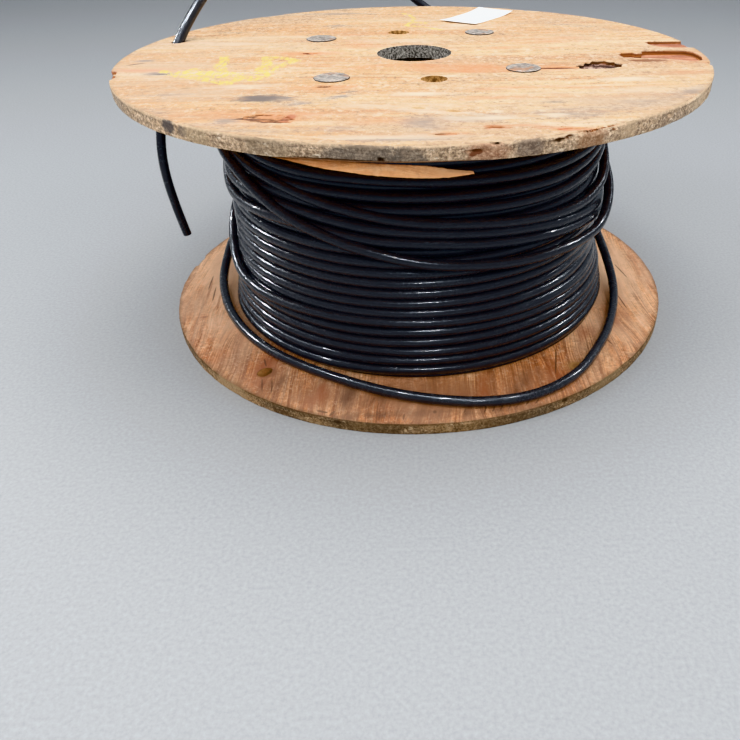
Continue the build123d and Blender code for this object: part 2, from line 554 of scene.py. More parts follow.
    def build(self, materials, node, stains_and_shade, scribbles=()):
        """Mesh object that stands for a flange, its stains, painted shade and scribbles painted on its
        points.
        """
        piece = mesh_piece(self.name, self.points, self.faces, materials[0], smooth=False)
        xs = np.array([point.x for point in self.points])
        ys = np.array([point.y for point in self.points])
        painted = {}
        for number, shapes in enumerate(stains_and_shade.values()):
            painted[stain_and_shade_name(number)] = stain_and_shade_field(xs, ys, shapes)
        for name, lines, width in scribbles:
            painted[name] = scribble_field(xs, ys, lines, width)
        for name, values in painted.items():
            piece.data.attributes.new(name, "FLOAT", "POINT").data.foreach_set("value", values)
        for material in materials[1:]:
            piece.data.materials.append(material)
        piece.data.polygons.foreach_set("material_index", self.face_kinds)
        piece.data.update()
        stand_for(piece, node)


# Materials
def cable_jacket(name, scuffs):
    """Glossy bluish black jacket, scuffed and dusty in places."""
    s = Shader(name)
    dust = s.noise((9, 9, 14), 6, 0.7)
    fine = s.noise(420.0, 3, 0.6)
    scuff = s.noise(scuffs, 4, 0.65)
    dusty = s.times(s.span(dust, 0.50, 0.74), s.span(fine, 0.40, 0.75))
    base = s.mix(scuff, (0.023, 0.0225, 0.0245, 1.0), (0.044, 0.043, 0.047, 1.0))
    s.set(Base_Color=s.mix(s.times(dusty, 0.35), base, (0.085, 0.082, 0.082, 1.0)))
    worn = s.math("ADD", s.times(dusty, 0.25), s.times(s.span(scuff, 0.4, 0.8), 0.16))
    s.set(Roughness=s.math("ADD", worn, 0.22))
    s.set(Normal=s.bump(s.noise(130.0, 4, 0.6), 0.45, 0.0013))
    s.set(IOR=1.42, Specular_Tint=(0.72, 0.84, 1.0, 1.0), Coat_Weight=0.38, Coat_Roughness=0.04)
    return s.material


def speckled_floor():
    """Plain pale floor, faintly speckled."""
    s = Shader("studio_floor")
    speckle = s.noise(300.0, 5, 0.6)
    s.set(Base_Color=s.mix(speckle, (0.252, 0.258, 0.264, 1.0), (0.42, 0.43, 0.44, 1.0)))
    s.set(Roughness=0.7, Normal=s.bump(speckle, 0.3, 0.0004))
    return s.material


def blob(s, x, y, half_length, half_width, turn=0.0, wobble=None, soft=0.55, share=1.0, heights=(0.0, 1e6)):
    """Patch about a place, full in its middle, with ragged edges. Sizes in millimetres."""
    node = s.add(
        "ShaderNodeMapping", {"vector_type": "TEXTURE"},
        Location=(x * MM, y * MM, heights[0] * MM), Rotation=(0, 0, math.radians(turn)),
        Scale=(half_length * MM, half_width * MM, heights[1] * MM),
    )
    s.feed(node.inputs["Vector"], s.place)
    spread = s.length(node.outputs[0])
    if wobble is not None:
        spread = s.math("ADD", spread, wobble)
    return s.span(spread, soft, 1.0, start=share, end=0.0)


def wobble(s, rough):
    """Noise that frays the edge of a patch."""
    return s.math("MULTIPLY_ADD", s.ragged, 2 * rough, -rough)


def paint(s, colour, patches, rough):
    """Patches of colour: x, y, half length, half width, turn, share, tint, heights on a rim."""
    frayed = wobble(s, rough)
    for x, y, half_length, half_width, turn, share, tint, *heights in patches:
        patch = blob(s, x, y, half_length, half_width, turn, frayed, 0.55, share, *heights)
        colour = s.mix(patch, colour, tint)
    return colour


# Large stains, and the painted shade at the front of the bottom flange, are values on the mesh's points,
# frayed by the material
STAIN_AND_SHADE_SPREAD = 1.35


def stain_and_shade_name(number):
    """Name of the mesh attribute that holds the patches of one tint, stains or painted shade."""
    return f"stain_{number}"


def stain_and_shade_field(xs, ys, shapes):
    """Strength of the patches of one tint at many places, above 0 inside them."""
    strength = np.full(len(xs), -1.0)
    for x, y, half_length, half_width, turn, share in shapes:
        turned = math.radians(turn)
        along = (xs - x * MM) * math.cos(turned) + (ys - y * MM) * math.sin(turned)
        across = (ys - y * MM) * math.cos(turned) - (xs - x * MM) * math.sin(turned)
        spread = np.hypot(along / (half_length * MM), across / (half_width * MM)) / STAIN_AND_SHADE_SPREAD
        strength = np.maximum(strength, share * (1 - spread))
    return strength


def scribble_field(xs, ys, lines, half_width):
    """Nearness to a scribble at many places, 1 on its line and 0 at its edge."""
    nearness = np.full(len(xs), -1.0)
    for line in lines:
        for start, end in zip(line, line[1:]):
            x0, y0 = start[0] * MM, start[1] * MM
            dx, dy = end[0] * MM - x0, end[1] * MM - y0
            share = np.clip(((xs - x0) * dx + (ys - y0) * dy) / (dx * dx + dy * dy), 0, 1)
            gap = np.hypot(xs - x0 - share * dx, ys - y0 - share * dy)
            nearness = np.maximum(nearness, 1 - gap / (half_width * MM))
    return nearness


def stain_and_shade(s, colour, stains_and_shade, grain):
    """Stains and painted shade that lie on the mesh's points, frayed by noise."""
    frayed = s.math("MULTIPLY_ADD", grain, 1.3, -0.65)
    for number, tint in enumerate(stains_and_shade):
        strength = s.math("ADD", s.painted(stain_and_shade_name(number)), frayed)
        colour = s.tint(colour, strength, 0.0, 0.75, 0.95, tint)
    return colour


def strokes(s, lines, half_width, rough):
    """Pencil-like lines through places on the face."""
    frayed = wobble(s, rough)
    drawn = None
    for (x0, y0), (x1, y1) in lines:
        length = math.hypot(x1 - x0, y1 - y0)
        turn = math.degrees(math.atan2(y1 - y0, x1 - x0))
        middle = ((x0 + x1) / 2, (y0 + y1) / 2)
        stroke = blob(s, *middle, length / 2 + half_width, half_width, turn, frayed, 0.7)
        drawn = stroke if drawn is None else s.math("MAXIMUM", drawn, stroke)
    return drawn


def plywood_face(name, tones, grain_turn, marks, level):
    """Weathered face veneer at one level, with its grain along one direction."""
    s = Shader(name)
    run = s.stretch((1.0, 1.0, 1.0), grain_turn)
    sway = s.noise((2.2, 6.0, 1), 3, 0.5, run)
    shifted = s.add("ShaderNodeVectorMath", {"operation": "MULTIPLY_ADD"})
    for socket, value in zip(shifted.inputs, (sway, (0.0, 0.09, 0.0), run)):
        s.feed(socket, value)
    wavy = shifted.outputs[0]
    zones = s.noise((1.6, 12, 1), 5, 0.62, wavy)
    lines = s.noise((3.2, 60 * tones["grain"], 1), 7, 0.74, wavy)
    hair = s.noise((10, 260 * tones["grain"], 1), 6, 0.74, wavy)
    grime = s.noise((6, 13, 1), 7, 0.74, run)
    mottle = s.noise(55.0, 7, 0.78)
    speck = s.noise(250.0, 5, 0.74)
    stops = ((0.34, "dark"), (0.46, "warm"), (0.55, "mid"), (0.66, "pale"))
    colour = s.ramp(zones, *((place, tones[tone]) for place, tone in stops))
    dark_lines = tones["line_share"]
    spots = tones["spots"]
    for pattern, low, high, share, tone in (
        (lines, 0.50, 0.60, 0.60 * dark_lines, "streak"),
        (lines, 0.46, 0.37, 0.60, "light"),
        (hair, 0.50, 0.60, 0.55 * dark_lines, "streak"),
        (hair, 0.46, 0.37, 0.50, "light"),
        (grime, 0.50, 0.62, 0.60, "weathered"),
        (mottle, 0.50, 0.61, 0.50 * spots, "weathered"),
        (mottle, 0.45, 0.35, 0.45 * spots, "light"),
        (speck, 0.51, 0.62, 0.55 * spots, "speck"),
        (speck, 0.46, 0.36, 0.45 * spots, "light"),
    ):
        colour = s.tint(colour, pattern, low, high, share, tones[tone])
    s.fray()
    colour = marks(s, colour, wavy)
    border = s.math("ADD", s.length(s.stretch((1, 1, 0))), s.times(s.ragged, 0.012))
    dulled = s.times(s.span(border, 0.200, FLANGE_RADIUS), s.span(grime, 0.36, 0.60))
    colour = s.mix(s.times(dulled, 0.38), colour, tones["weathered"])
    colour = s.tint(colour, border, FLANGE_RADIUS - 0.001, FLANGE_RADIUS + 0.008, 0.75, tones["border"])
    s.sunk = s.span(s.math("SUBTRACT", level, s.upward(s.place)), 0.6 * MM, 1.5 * MM)
    facing = s.upward(s.add("ShaderNodeNewGeometry").outputs["True Normal"])
    s.steep = s.math("SUBTRACT", 1.0, s.span(facing, 0.45, 0.80))
    s.set(Base_Color=torn_wood(s, colour, wavy), Roughness=0.74, Specular_IOR_Level=0.25)
    relief = s.math("ADD", s.times(lines, 0.6), s.times(hair, 0.4))
    s.set(Normal=s.bump(relief, 0.45, 0.0007, s.bump(mottle, 0.35, 0.0012)))
    return s.material


def torn_wood(s, colour, wavy):
    """Inner plies, where the face veneer is torn away or knocked in."""
    fibres = s.noise((12, 12, 700), 5, 0.7, wavy)
    bed = s.noise((16, 160, 1), 6, 0.7, wavy)
    floor = s.ramp(bed, (0.38, (138, 84, 62)), (0.50, (180, 122, 94)), (0.62, (214, 162, 128)))
    wall = s.ramp(fibres, (0.36, (84, 44, 24)), (0.52, (144, 88, 50)), (0.66, (198, 138, 84)))
    knot = blob(s, 182, -66, 34, 24)
    knot_floor = s.ramp(s.ragged, (0.42, (58, 34, 26)), (0.50, (124, 90, 76)), (0.60, (194, 168, 150)))
    floor = s.mix(knot, floor, knot_floor)
    # The knot hole's walls are painted near black: dark knot wood and painted shade in the hole.
    wall = s.mix(knot, wall, (40, 20, 12))
    worn_knot = blob(s, -117, -234, 40, 22)
    worn_floor = s.ramp(s.ragged, (0.42, (92, 56, 36)), (0.50, (140, 90, 56)), (0.60, (196, 138, 96)))
    floor = s.mix(worn_knot, floor, worn_floor)
    colour = s.mix(s.sunk, colour, floor)
    return s.mix(s.times(s.steep, s.span(s.sunk, 0.0, 0.4)), colour, wall)


# Crayon scribble on the top face
CRAYON = [
    [(-246, -71), (-225, -78), (-216, -64)],
    [(-236, -80), (-207, -99), (-191, -110), (-173, -120), (-166, -103), (-156, -97)],
    [(-151, -107), (-143, -92), (-139, -65), (-133, -47), (-121, -29)],
    [(-151, -80), (-147, -46), (-156, -13), (-140, -14), (-123, -28)],
    [(-201, -4), (-195, -24), (-195, -50), (-187, -74)],
    [(-210, -74), (-178, -81), (-163, -96)],
    [(-193, -89), (-188, -76), (-175, -96), (-169, -86)],
    [(-222, -88), (-206, -82), (-198, -98), (-184, -92)],
]
THIN_CRAYON = [
    [(-14, 246), (-5, 230), (2, 205), (-4, 178), (-10, 156), (6, 150), (34, 126)],
    [(0, 180), (16, 172)],
]
CRAYON_WIDTH = 6.5
THIN_CRAYON_WIDTH = 3.6

HALO = (226, 158, 108)
ORANGE = (212, 134, 86)
PINK = (222, 164, 130)
GREY = (146, 134, 126)
DEEP_GREY = (112, 102, 98)
DARK_BROWN = (84, 54, 38)
TAUPE = (198, 172, 146)
PALE = (250, 232, 206)
# Large stains by tint: x, y, half length, half width, turn, share
TOP_SMEARS = {
    TAUPE: [
        (-250, -60, 90, 90, 0, 0.60), (-190, 60, 110, 60, 0, 0.50), (-180, -150, 90, 50, 0, 0.52),
        (-40, -200, 90, 36, 0, 0.36), (40, 200, 120, 40, 0, 0.40), (180, 80, 80, 40, 0, 0.36),
        (0, -30, 90, 24, 0, 0.32), (150, -190, 120, 40, 0, 0.42),
    ],
    HALO: [
        (-118, -230, 76, 22, 0, 0.45), (-90, -226, 26, 12, 0, 0.50), (-30, -246, 70, 12, 0, 0.40),
        (-200, -222, 40, 12, 0, 0.35), (60, -76, 76, 18, 0, 0.55), (140, -76, 30, 12, 0, 0.6),
        (-110, 2, 40, 12, 0, 0.60), (-82, -139, 36, 10, 0, 0.60), (-20, -60, 100, 26, 0, 0.35),
        (100, -150, 110, 10, 0, 0.35), (60, -180, 140, 9, 0, 0.35), (150, 60, 80, 26, 0, 0.35),
        (70, -262, 46, 5, 3, 0.55), (24, -278, 22, 4, 0, 0.4), (90, 20, 120, 10, 0, 0.3),
        (-60, 110, 90, 14, 0, 0.3), (-60, 40, 40, 30, 0, 0.35), (-275, -250, 60, 60, 0, 0.2),
        (270, -100, 40, 20, 0, 0.3),
    ],
    ORANGE: [
        (110, -270, 30, 6, -10, 0.6),
    ],
    PINK: [
        (-262, -66, 46, 14, 0, 0.5), (285, -32, 30, 28, 0, 0.6),
    ],
    DEEP_GREY: [
        (-132, -174, 30, 16, -4, 1.0), (242, -172, 9, 8, 20, 0.9), (118, -198, 14, 5, 0, 0.6),
    ],
    GREY: [
        (-110, -176, 16, 8, 0, 0.5), (-98, -192, 20, 8, 0, 0.70), (-66, -172, 24, 7, 30, 0.7),
        (-150, -238, 16, 9, 0, 0.8), (-276, -22, 14, 7, 8, 0.75), (-250, -80, 18, 8, -6, 0.85),
        (-219, -156, 14, 9, 0, 0.5), (-100, 246, 60, 11, 0, 0.60), (-92, 160, 46, 12, 0, 0.40),
        (-170, 120, 60, 12, 0, 0.3), (-230, -160, 50, 12, 0, 0.35), (-20, -290, 70, 8, 2, 0.75),
        (6, -248, 26, 26, 0, 0.62), (50, -240, 50, 16, 0, 0.6), (130, -232, 60, 20, 10, 0.6),
        (190, -205, 50, 22, 20, 0.5), (240, -170, 44, 14, 36, 0.65), (-140, -258, 60, 12, -16, 0.45),
        (190, 150, 60, 20, -20, 0.45), (-210, -212, 30, 10, -40, 0.45), (-60, -262, 50, 10, 0, 0.40),
        (30, -172, 40, 8, 0, 0.35), (230, 120, 40, 10, -20, 0.3),
    ],
    PALE: [
        (200, -124, 26, 9, 0, 0.85), (6, -166, 26, 7, 0, 0.70), (200, -160, 60, 10, 4, 0.45),
        (0, -205, 60, 9, 0, 0.40), (-150, -134, 34, 8, 0, 0.4), (20, -222, 30, 6, -10, 0.6),
        (60, -240, 40, 7, 0, 0.5), (-30, -284, 70, 6, 0, 0.55), (60, 150, 60, 30, 0, 0.4),
        (110, -236, 12, 5, 0, 0.8), (-230, 60, 60, 20, 0, 0.3), (-10, 60, 60, 16, 0, 0.35),
    ],
}
# Small spots: x, y, half length, half width, turn, share, tint
TOP_SPOTS = [
    (-121, -236, 17, 8, 0, 1.0, (134, 86, 52)), (-101, -232, 7, 13, -30, 0.9, (176, 102, 70)),
    (-134, -233, 16, 3.4, 4, 1.0, (98, 60, 42)), (-112, -243, 14, 3.4, 0, 1.0, (104, 62, 40)),
    (-111, 2, 12, 4.5, -10, 0.9, (128, 74, 50)), (-113, 0, 6, 3, 0, 0.9, DARK_BROWN),
    (-82, -138, 9, 3.2, 0, 1.0, (78, 36, 22)), (-282, -38, 12, 3.5, 30, 0.7, DARK_BROWN),
    (-297, -76, 10, 12, 0, 0.95, (150, 70, 46)), (-292, -86, 9, 6, -40, 0.8, DARK_BROWN),
    (-275, -19, 12, 2.2, 8, 0.7, GREY), (-242, -82, 13, 3, 0, 0.6, DEEP_GREY),
    (137, -78, 28, 3.6, -3, 1.0, (108, 58, 34)), (-180, -118, 5, 3, 0, 0.4, DARK_BROWN),
    (-206, -136, 6, 4, 0, 0.5, (150, 120, 84)), (62, -118, 10, 2, 0, 0.3, DARK_BROWN),
    (-165, 238, 8, 3, 0, 0.4, DARK_BROWN), (15, -130, 7, 2, 0, 0.3, DARK_BROWN),
    (94, -112, 4, 3, 0, 0.4, DARK_BROWN), (146, 28, 3, 2, 0, 0.5, DARK_BROWN),
    (236, -50, 27, 7.5, -3, 1.0, (132, 78, 44)), (-236, 262, 4, 4, 0, 0.3, DARK_BROWN),
    (3, -210, 8, 4, -20, 0.6, (170, 130, 70)), (30, -220, 9, 3, -20, 0.7, (176, 130, 60)),
    (60, -262, 11, 4, 0, 0.9, (178, 110, 60)), (18, -279, 8, 2.4, 6, 0.9, (120, 80, 40)),
    (112, -272, 8, 4, -30, 0.7, (200, 120, 80)), (290, 66, 8, 3, -10, 0.7, (190, 120, 80)),
    (-58, -156, 12, 3, 20, 0.5, DEEP_GREY), (278, -78, 8, 2, 30, 0.4, DARK_BROWN),
    (222, -98, 7, 2, 0, 0.3, DARK_BROWN),
]


def top_marks(s, colour, wavy):
    """Knots, stains and crayon of the top face."""
    colour = stain_and_shade(s, colour, TOP_SMEARS, s.noise((22, 90, 1), 6, 0.72, wavy))
    colour = paint(s, colour, TOP_SPOTS, 0.55)
    wax = s.span(s.noise(1.0, 5, 0.75, s.stretch((260, 90, 1), -35)), 0.40, 0.60)
    frayed = s.math("MULTIPLY_ADD", s.ragged, 2.4, -1.2)
    broad = s.span(s.math("ADD", s.painted("crayon"), frayed), 0.05, 0.35)
    thin = s.span(s.math("ADD", s.painted("thin_crayon"), frayed), 0.05, 0.45)
    drawn = s.times(s.math("MAXIMUM", broad, thin), wax)
    return s.mix(s.times(drawn, 0.84), colour, (255, 236, 116))


BURNT = (150, 78, 44)
STAIN = (92, 62, 46)
RUSTY = (198, 118, 70)
PALER_SIDES = (242, 200, 164)
# Brown for the painted shade on the front of the bottom flange
OLIVE = (150, 112, 70)
FRONT_SHADE = (140, 94, 66)
# Stains, painted shade, spots and splits of the bottom flange, in the same order of numbers
LOWER_STAINS_AND_SHADE = {
    # Paler patches, most of them towards the left and right sides
    PALER_SIDES: [
        (-232, 20, 90, 150, 0, 0.85), (-215, -110, 70, 60, 0, 0.6), (238, 10, 80, 140, 0, 0.75),
        (215, -130, 60, 60, 0, 0.5), (-262, 30, 30, 60, 0, 0.45), (250, 60, 26, 60, 0, 0.45),
        (-258, -60, 26, 60, 12, 0.5), (260, -120, 50, 16, 70, 0.5), (120, -262, 40, 10, 20, 0.45),
    ],
    # Painted shade on the front of the face, under the top flange and the winding
    FRONT_SHADE: [
        (20, -262, 150, 46, 0, 0.75), (-100, -250, 70, 36, 0, 0.6), (110, -235, 60, 40, 0, 0.6),
    ],
    BURNT: [
        (-165, -200, 50, 26, 60, 0.60), (150, -225, 50, 26, 70, 0.5), (-110, -262, 30, 12, 60, 0.55),
        (230, -110, 40, 26, 80, 0.5), (190, -150, 30, 16, 80, 0.5), (240, -60, 30, 12, 70, 0.4),
        (60, -255, 40, 9, 80, 0.4), (-250, 120, 30, 60, 0, 0.3), (230, 160, 40, 30, 0, 0.3),
    ],
    RUSTY: [
        (-210, -130, 50, 24, 70, 0.35), (-225, -180, 40, 14, 60, 0.45),
    ],
    STAIN: [
        (-150, -235, 26, 16, 70, 0.5), (-78, -258, 26, 13, 80, 0.80), (-42, -258, 30, 12, 60, 0.55),
        (0, -262, 40, 14, 80, 0.35), (-40, -288, 120, 8, 3, 0.60), (70, -286, 70, 7, 8, 0.55),
        (100, -248, 30, 8, 70, 0.4), (0, 270, 120, 20, 0, 0.3),
    ],
    OLIVE: [
        (165, -214, 20, 14, 0, 0.8), (-190, -236, 50, 10, -50, 0.4),
    ],
}
LOWER_SPOTS = [
    (165, -214, 9.5, 9, 0, 0.9, (170, 126, 70)), (165, -214, 5, 5, 0, 0.7, (128, 86, 44)),
    (11, -286, 2.2, 3, 0, 0.9, (50, 30, 20)), (-100, -281, 7, 2, -20, 0.9, STAIN),
    (-90, -284, 5, 2, 60, 0.8, STAIN), (-260, -96, 7, 3, 20, 0.5, (160, 96, 70)),
    (-250, -60, 2, 22, 6, 0.5, BURNT), (-268, -30, 2, 30, 4, 0.5, BURNT),
]
LOWER_SLITS = [
    [(-173, -186), (-168, -202)], [(-169, -223), (-165, -246)], [(-158, -226), (-155, -249)],
    [(40, -288), (42, -282)], [(60, -289), (63, -276)], [(68, -288), (72, -277)], [(76, -286), (80, -275)],
    [(84, -285), (89, -273)], [(92, -282), (98, -272)], [(102, -279), (107, -271)],
    [(112, -277), (117, -269)], [(-20, -296), (-19, -288)], [(246, -60), (250, -100)],
    [(232, -70), (226, -120)], [(262, 20), (270, -20)], [(-262, -20), (-258, -60)],
    [(-272, 10), (-270, -30)], [(206, -150), (214, -176)], [(150, -176), (140, -232)],
]


def lower_marks(s, colour, wavy):
    """Knots, stains, painted shade and splits of the bottom flange."""
    colour = stain_and_shade(s, colour, LOWER_STAINS_AND_SHADE, s.noise((16, 70, 1), 6, 0.7, wavy))
    colour = paint(s, colour, LOWER_SPOTS, 0.35)
    hole = blob(s, -165, -213, 15, 12, 0, wobble(s, 0.25))
    colour = s.mix(s.times(hole, 0.7), colour, (112, 64, 38))
    return s.mix(s.times(strokes(s, LOWER_SLITS, 1.1, 0.35), 0.8), colour, (70, 40, 26))


def no_marks(s, colour, wavy):
    """Bare veneer."""
    return colour


def plywood_edge(name, tones, marks, top):
    """Weathered edge of plywood: end grain, speckled, with faint plies."""
    s = Shader(name)
    s.fray()
    speck = s.noise(460.0, 4, 0.75)
    grit = s.noise(190.0, 6, 0.78)
    fleck = s.noise((150, 150, 420), 4, 0.7)
    patch = s.noise((13, 13, 26), 5, 0.65)
    blot = s.noise((46, 46, 90), 4, 0.7)
    plies = s.noise((1.5, 1.5, 260), 3, 0.6)
    colour = s.ramp(patch, (0.38, tones["grey"]), (0.50, tones["mid"]), (0.60, tones["tan"]))
    rise = s.math("ADD", s.upward(s.place), s.times(s.ragged, 0.004))
    for pattern, low, high, share, tone in (
        (plies, 0.50, 0.60, 0.30, "dark"),
        (grit, 0.50, 0.60, 0.62, "dark"),
        (grit, 0.46, 0.37, 0.70, "pale"),
        (speck, 0.50, 0.60, 0.68, "dark"),
        (speck, 0.46, 0.37, 0.72, "pale"),
        (blot, 0.58, 0.70, 0.70, "dark"),
        (fleck, 0.60, 0.68, 0.80, "fleck"),
        (rise, top - 0.0012, top + 0.0012, 0.7, "arris"),
    ):
        colour = s.tint(colour, pattern, low, high, share, tones[tone])
    colour = paint(s, colour, marks, 0.9)
    # The walls of the bored holes are fresher, and the arbor hole is lined with grey fibre
    from_axis = s.length(s.stretch((1, 1, 0)))
    bored = s.ramp(grit, (0.40, (232, 186, 124)), (0.50, (190, 142, 88)), (0.60, (120, 84, 52)))
    colour = s.mix(s.span(from_axis, 0.160, 0.150), colour, bored)
    fibre = s.ramp(speck, (0.38, (206, 200, 190)), (0.50, (136, 130, 122)), (0.60, (60, 56, 52)))
    colour = s.mix(s.span(from_axis, 0.055, 0.050), colour, fibre)
    s.set(Base_Color=colour, Roughness=0.85, Specular_IOR_Level=0.2)
    s.set(Normal=s.bump(speck, 0.6, 0.0009, s.bump(grit, 0.6, 0.0012)))
    return s.material


def galvanised():
    """Dull zinc with spangle, dirt, a little rust and painted shade low on the bolt head."""
    s = Shader("galvanised_steel")
    spangle = s.noise(260.0, 3, 0.5)
    grime = s.noise(110.0, 6, 0.72)
    rust = s.noise((60, 60, 60), 5, 0.65)
    colour = s.ramp(spangle, (0.35, (136, 130, 124)), (0.6, (190, 180, 170)))
    colour = s.tint(colour, grime, 0.50, 0.64, 0.7, (112, 102, 92))
    colour = s.tint(colour, rust, 0.52, 0.64, 0.70, (184, 132, 94))
    # Painted shade: the rim of the head below 0.9 mm over the top face is painted dark brown-grey, fading
    # out by 1.3 mm. Everything lower, the shank and the nuts too, is painted the same.
    shade_under_head = s.span(s.upward(s.place), DRUM_TOP + 1.3 * MM, DRUM_TOP + 0.9 * MM)
    s.set(Base_Color=s.mix(shade_under_head, colour, (58, 50, 44)), Metallic=0.35)
    s.set(Roughness=s.span(grime, -0.2, 1.2, "LINEAR"), Normal=s.bump(grime, 0.7, 0.0008))
    return s.material


def white_paper():
    """Blank paper with faint dirt."""
    s = Shader("white_paper")
    dirt = s.noise(30.0, 5, 0.6)
    fibre = s.noise(900.0, 2, 0.5)
    s.set(Base_Color=s.tint((250, 250, 248), dirt, 0.55, 0.8, 0.4, (224, 220, 212)))
    s.set(Roughness=0.6, Normal=s.bump(fibre, 0.15, 0.0002))
    return s.material


def fibre_tube():
    """Grey fibre board, spotted with dirt."""
    s = Shader("fibre_board")
    spots = s.noise(200.0, 5, 0.75)
    wide = s.noise(22.0, 4, 0.6)
    colour = s.ramp(spots, (0.40, (54, 54, 52)), (0.50, (124, 122, 114)), (0.62, (198, 196, 188)))
    s.set(Base_Color=s.tint(colour, wide, 0.5, 0.7, 0.3, (104, 92, 74)))
    s.set(Roughness=0.9, Normal=s.bump(spots, 0.5, 0.001))
    return s.material


def veneer_tones(*colours, **shares):
    """Colours of a veneer by name, and how strong its patterns are."""
    names = ("dark", "warm", "mid", "pale", "streak", "light", "weathered", "speck", "border")
    return {**dict(zip(names, colours)), **shares}


def edge_tones(*colours):
    """Colours of an edge by name."""
    return dict(zip(("dark", "mid", "pale", "tan", "grey", "fleck", "arris"), colours))


TOP_TONES = veneer_tones(
    (208, 154, 100), (231, 184, 130), (243, 208, 158), (250, 223, 180), (190, 134, 92),
    (255, 240, 214), (184, 154, 126), (148, 116, 88), (164, 136, 108),
    line_share=1.2, grain=1.0, spots=1.5,
)
LOWER_TONES = veneer_tones(
    (186, 106, 58), (218, 144, 90), (236, 174, 122), (246, 200, 156), (130, 70, 40),
    (254, 218, 178), (182, 138, 108), (126, 84, 60), (112, 84, 60),
    line_share=1.6, grain=2.0, spots=0.9,
)
SLIVER_TONES = veneer_tones(
    (176, 104, 60), (208, 140, 90), (226, 168, 114), (242, 200, 152), (146, 84, 50),
    (250, 214, 170), (196, 154, 118), (140, 92, 62), (214, 150, 96),
    line_share=1.25, grain=2.6, spots=0.6,
)
EDGE_TONES = edge_tones(
    (106, 88, 74), (196, 168, 138), (238, 212, 182), (214, 182, 148), (166, 148, 130),
    (248, 230, 204), (226, 196, 162),
)
LOWER_EDGE_TONES = edge_tones(
    (72, 56, 42), (138, 112, 84), (180, 152, 118), (162, 130, 94), (110, 94, 76),
    (206, 180, 144), (96, 70, 48),
)


def rim_spots(spots):
    """Patches given by their angle on the rim, the middle of their height and half that height."""
    placed = []
    for angle, half_length, height, half_height, share, tint in spots:
        x, y = flat_polar(FLANGE_RADIUS / MM, angle)
        placed.append((x, y, half_length, half_length, 0, share, tint, (height, half_height)))
    return placed


# Near black: painted shade in the dents of the rim where these spots lie.
CHIP_SHADE = (34, 20, 14)
# Most spots of the top rim are stains. The near-black ones, and the dark brown ones at -69.5, -68 and -60
# degrees, are painted shade in the rim's dents. The dark line low on the rim about -101 degrees is a painted
# shadow in the gap above the hanging sliver.
TOP_RIM_SPOTS = rim_spots([
    (-130.6, 12, 270, 7, 0.9, (84, 78, 78)), (-127, 6, 268, 5, 0.6, (90, 84, 82)),
    (-98, 34, 267, 12, 0.60, (98, 92, 86)), (-91, 16, 265, 12, 0.6, (92, 88, 84)),
    (-74, 20, 268, 10, 0.6, (104, 92, 86)), (-64, 18, 266, 12, 0.6, (158, 116, 84)),
    (-57, 12, 268, 9, 0.6, (190, 164, 134)), (-112, 26, 266, 12, 0.4, (140, 124, 102)),
    (-166, 16, 270, 14, 0.8, (160, 86, 58)), (-22, 20, 264, 10, 0.5, (120, 106, 92)),
    (-36, 24, 268, 9, 0.5, (196, 176, 150)), (-124, 18, 268, 9, 0.4, (184, 162, 130)),
    (-81.6, 5.0, 267.6, 2.0, 1.0, CHIP_SHADE), (-82.4, 3.0, 266.0, 1.6, 1.0, CHIP_SHADE),
    (-80, 24, 267, 9, 0.45, (170, 112, 84)), (-95, 3.6, 264.0, 1.8, 1.0, CHIP_SHADE),
    (-69.5, 6, 270.4, 2.2, 1.0, (74, 42, 26)), (-101, 44, 262.6, 1.7, 0.9, (66, 40, 28)),
    (-68, 4, 271.4, 2.0, 0.9, (110, 60, 34)), (-79, 3, 272.6, 1.2, 1.0, CHIP_SHADE),
    (-60, 3, 271.0, 1.6, 0.8, (120, 76, 46)), (150, 30, 268, 12, 0.5, (92, 80, 70)),
])
LOWER_RIM_SPOTS = rim_spots([
    (-92.5, 4.2, 7.5, 3.4, 1.0, (224, 198, 160)), (-93.4, 2.0, 5.0, 3.0, 0.8, (210, 180, 140)),
    (-100, 44, 6, 14, 0.5, (88, 70, 52)), (-75, 44, 6, 14, 0.45, (100, 78, 56)),
    (-132, 36, 6, 14, 0.5, (182, 152, 116)), (-50, 34, 6, 14, 0.5, (156, 132, 100)),
    (-20, 30, 6, 14, 0.4, (166, 142, 110)), (-62, 5, 10, 3, 0.9, (60, 42, 28)),
    (-118, 12, 4, 4, 0.6, (80, 58, 40)), (-106, 5, 9, 2.4, 0.8, (54, 38, 26)),
])
# Fresh wood in the mouth of the cable's hole
LOWER_RIM_SPOTS.append((-165, -213, 20, 20, 0, 0.85, (206, 156, 106), (6, 16)))
# A level that no face lies above, for veneer without patches
NO_LEVEL = -10.0

jacket = cable_jacket("cable_jacket", (60, 60, 420))
cord_jacket = cable_jacket("cord_jacket", (70, 70, 70))
face_wood = plywood_face("weathered_plywood", TOP_TONES, 0.0, top_marks, DRUM_TOP)
inner_wood = plywood_face("plywood_underside", LOWER_TONES, 0.0, no_marks, NO_LEVEL)
lower_wood = plywood_face("brown_plywood", LOWER_TONES, 90.0, lower_marks, NO_LEVEL)
sliver_wood = plywood_face("torn_veneer", SLIVER_TONES, 0.0, no_marks, NO_LEVEL)
edge_wood = plywood_edge("plywood_edge", EDGE_TONES, TOP_RIM_SPOTS, DRUM_TOP)
lower_edge_wood = plywood_edge("brown_plywood_edge", LOWER_EDGE_TONES, LOWER_RIM_SPOTS, WINDING_FOOT)
zinc = galvanised()
paper = white_paper()
fibre_board = fibre_tube()

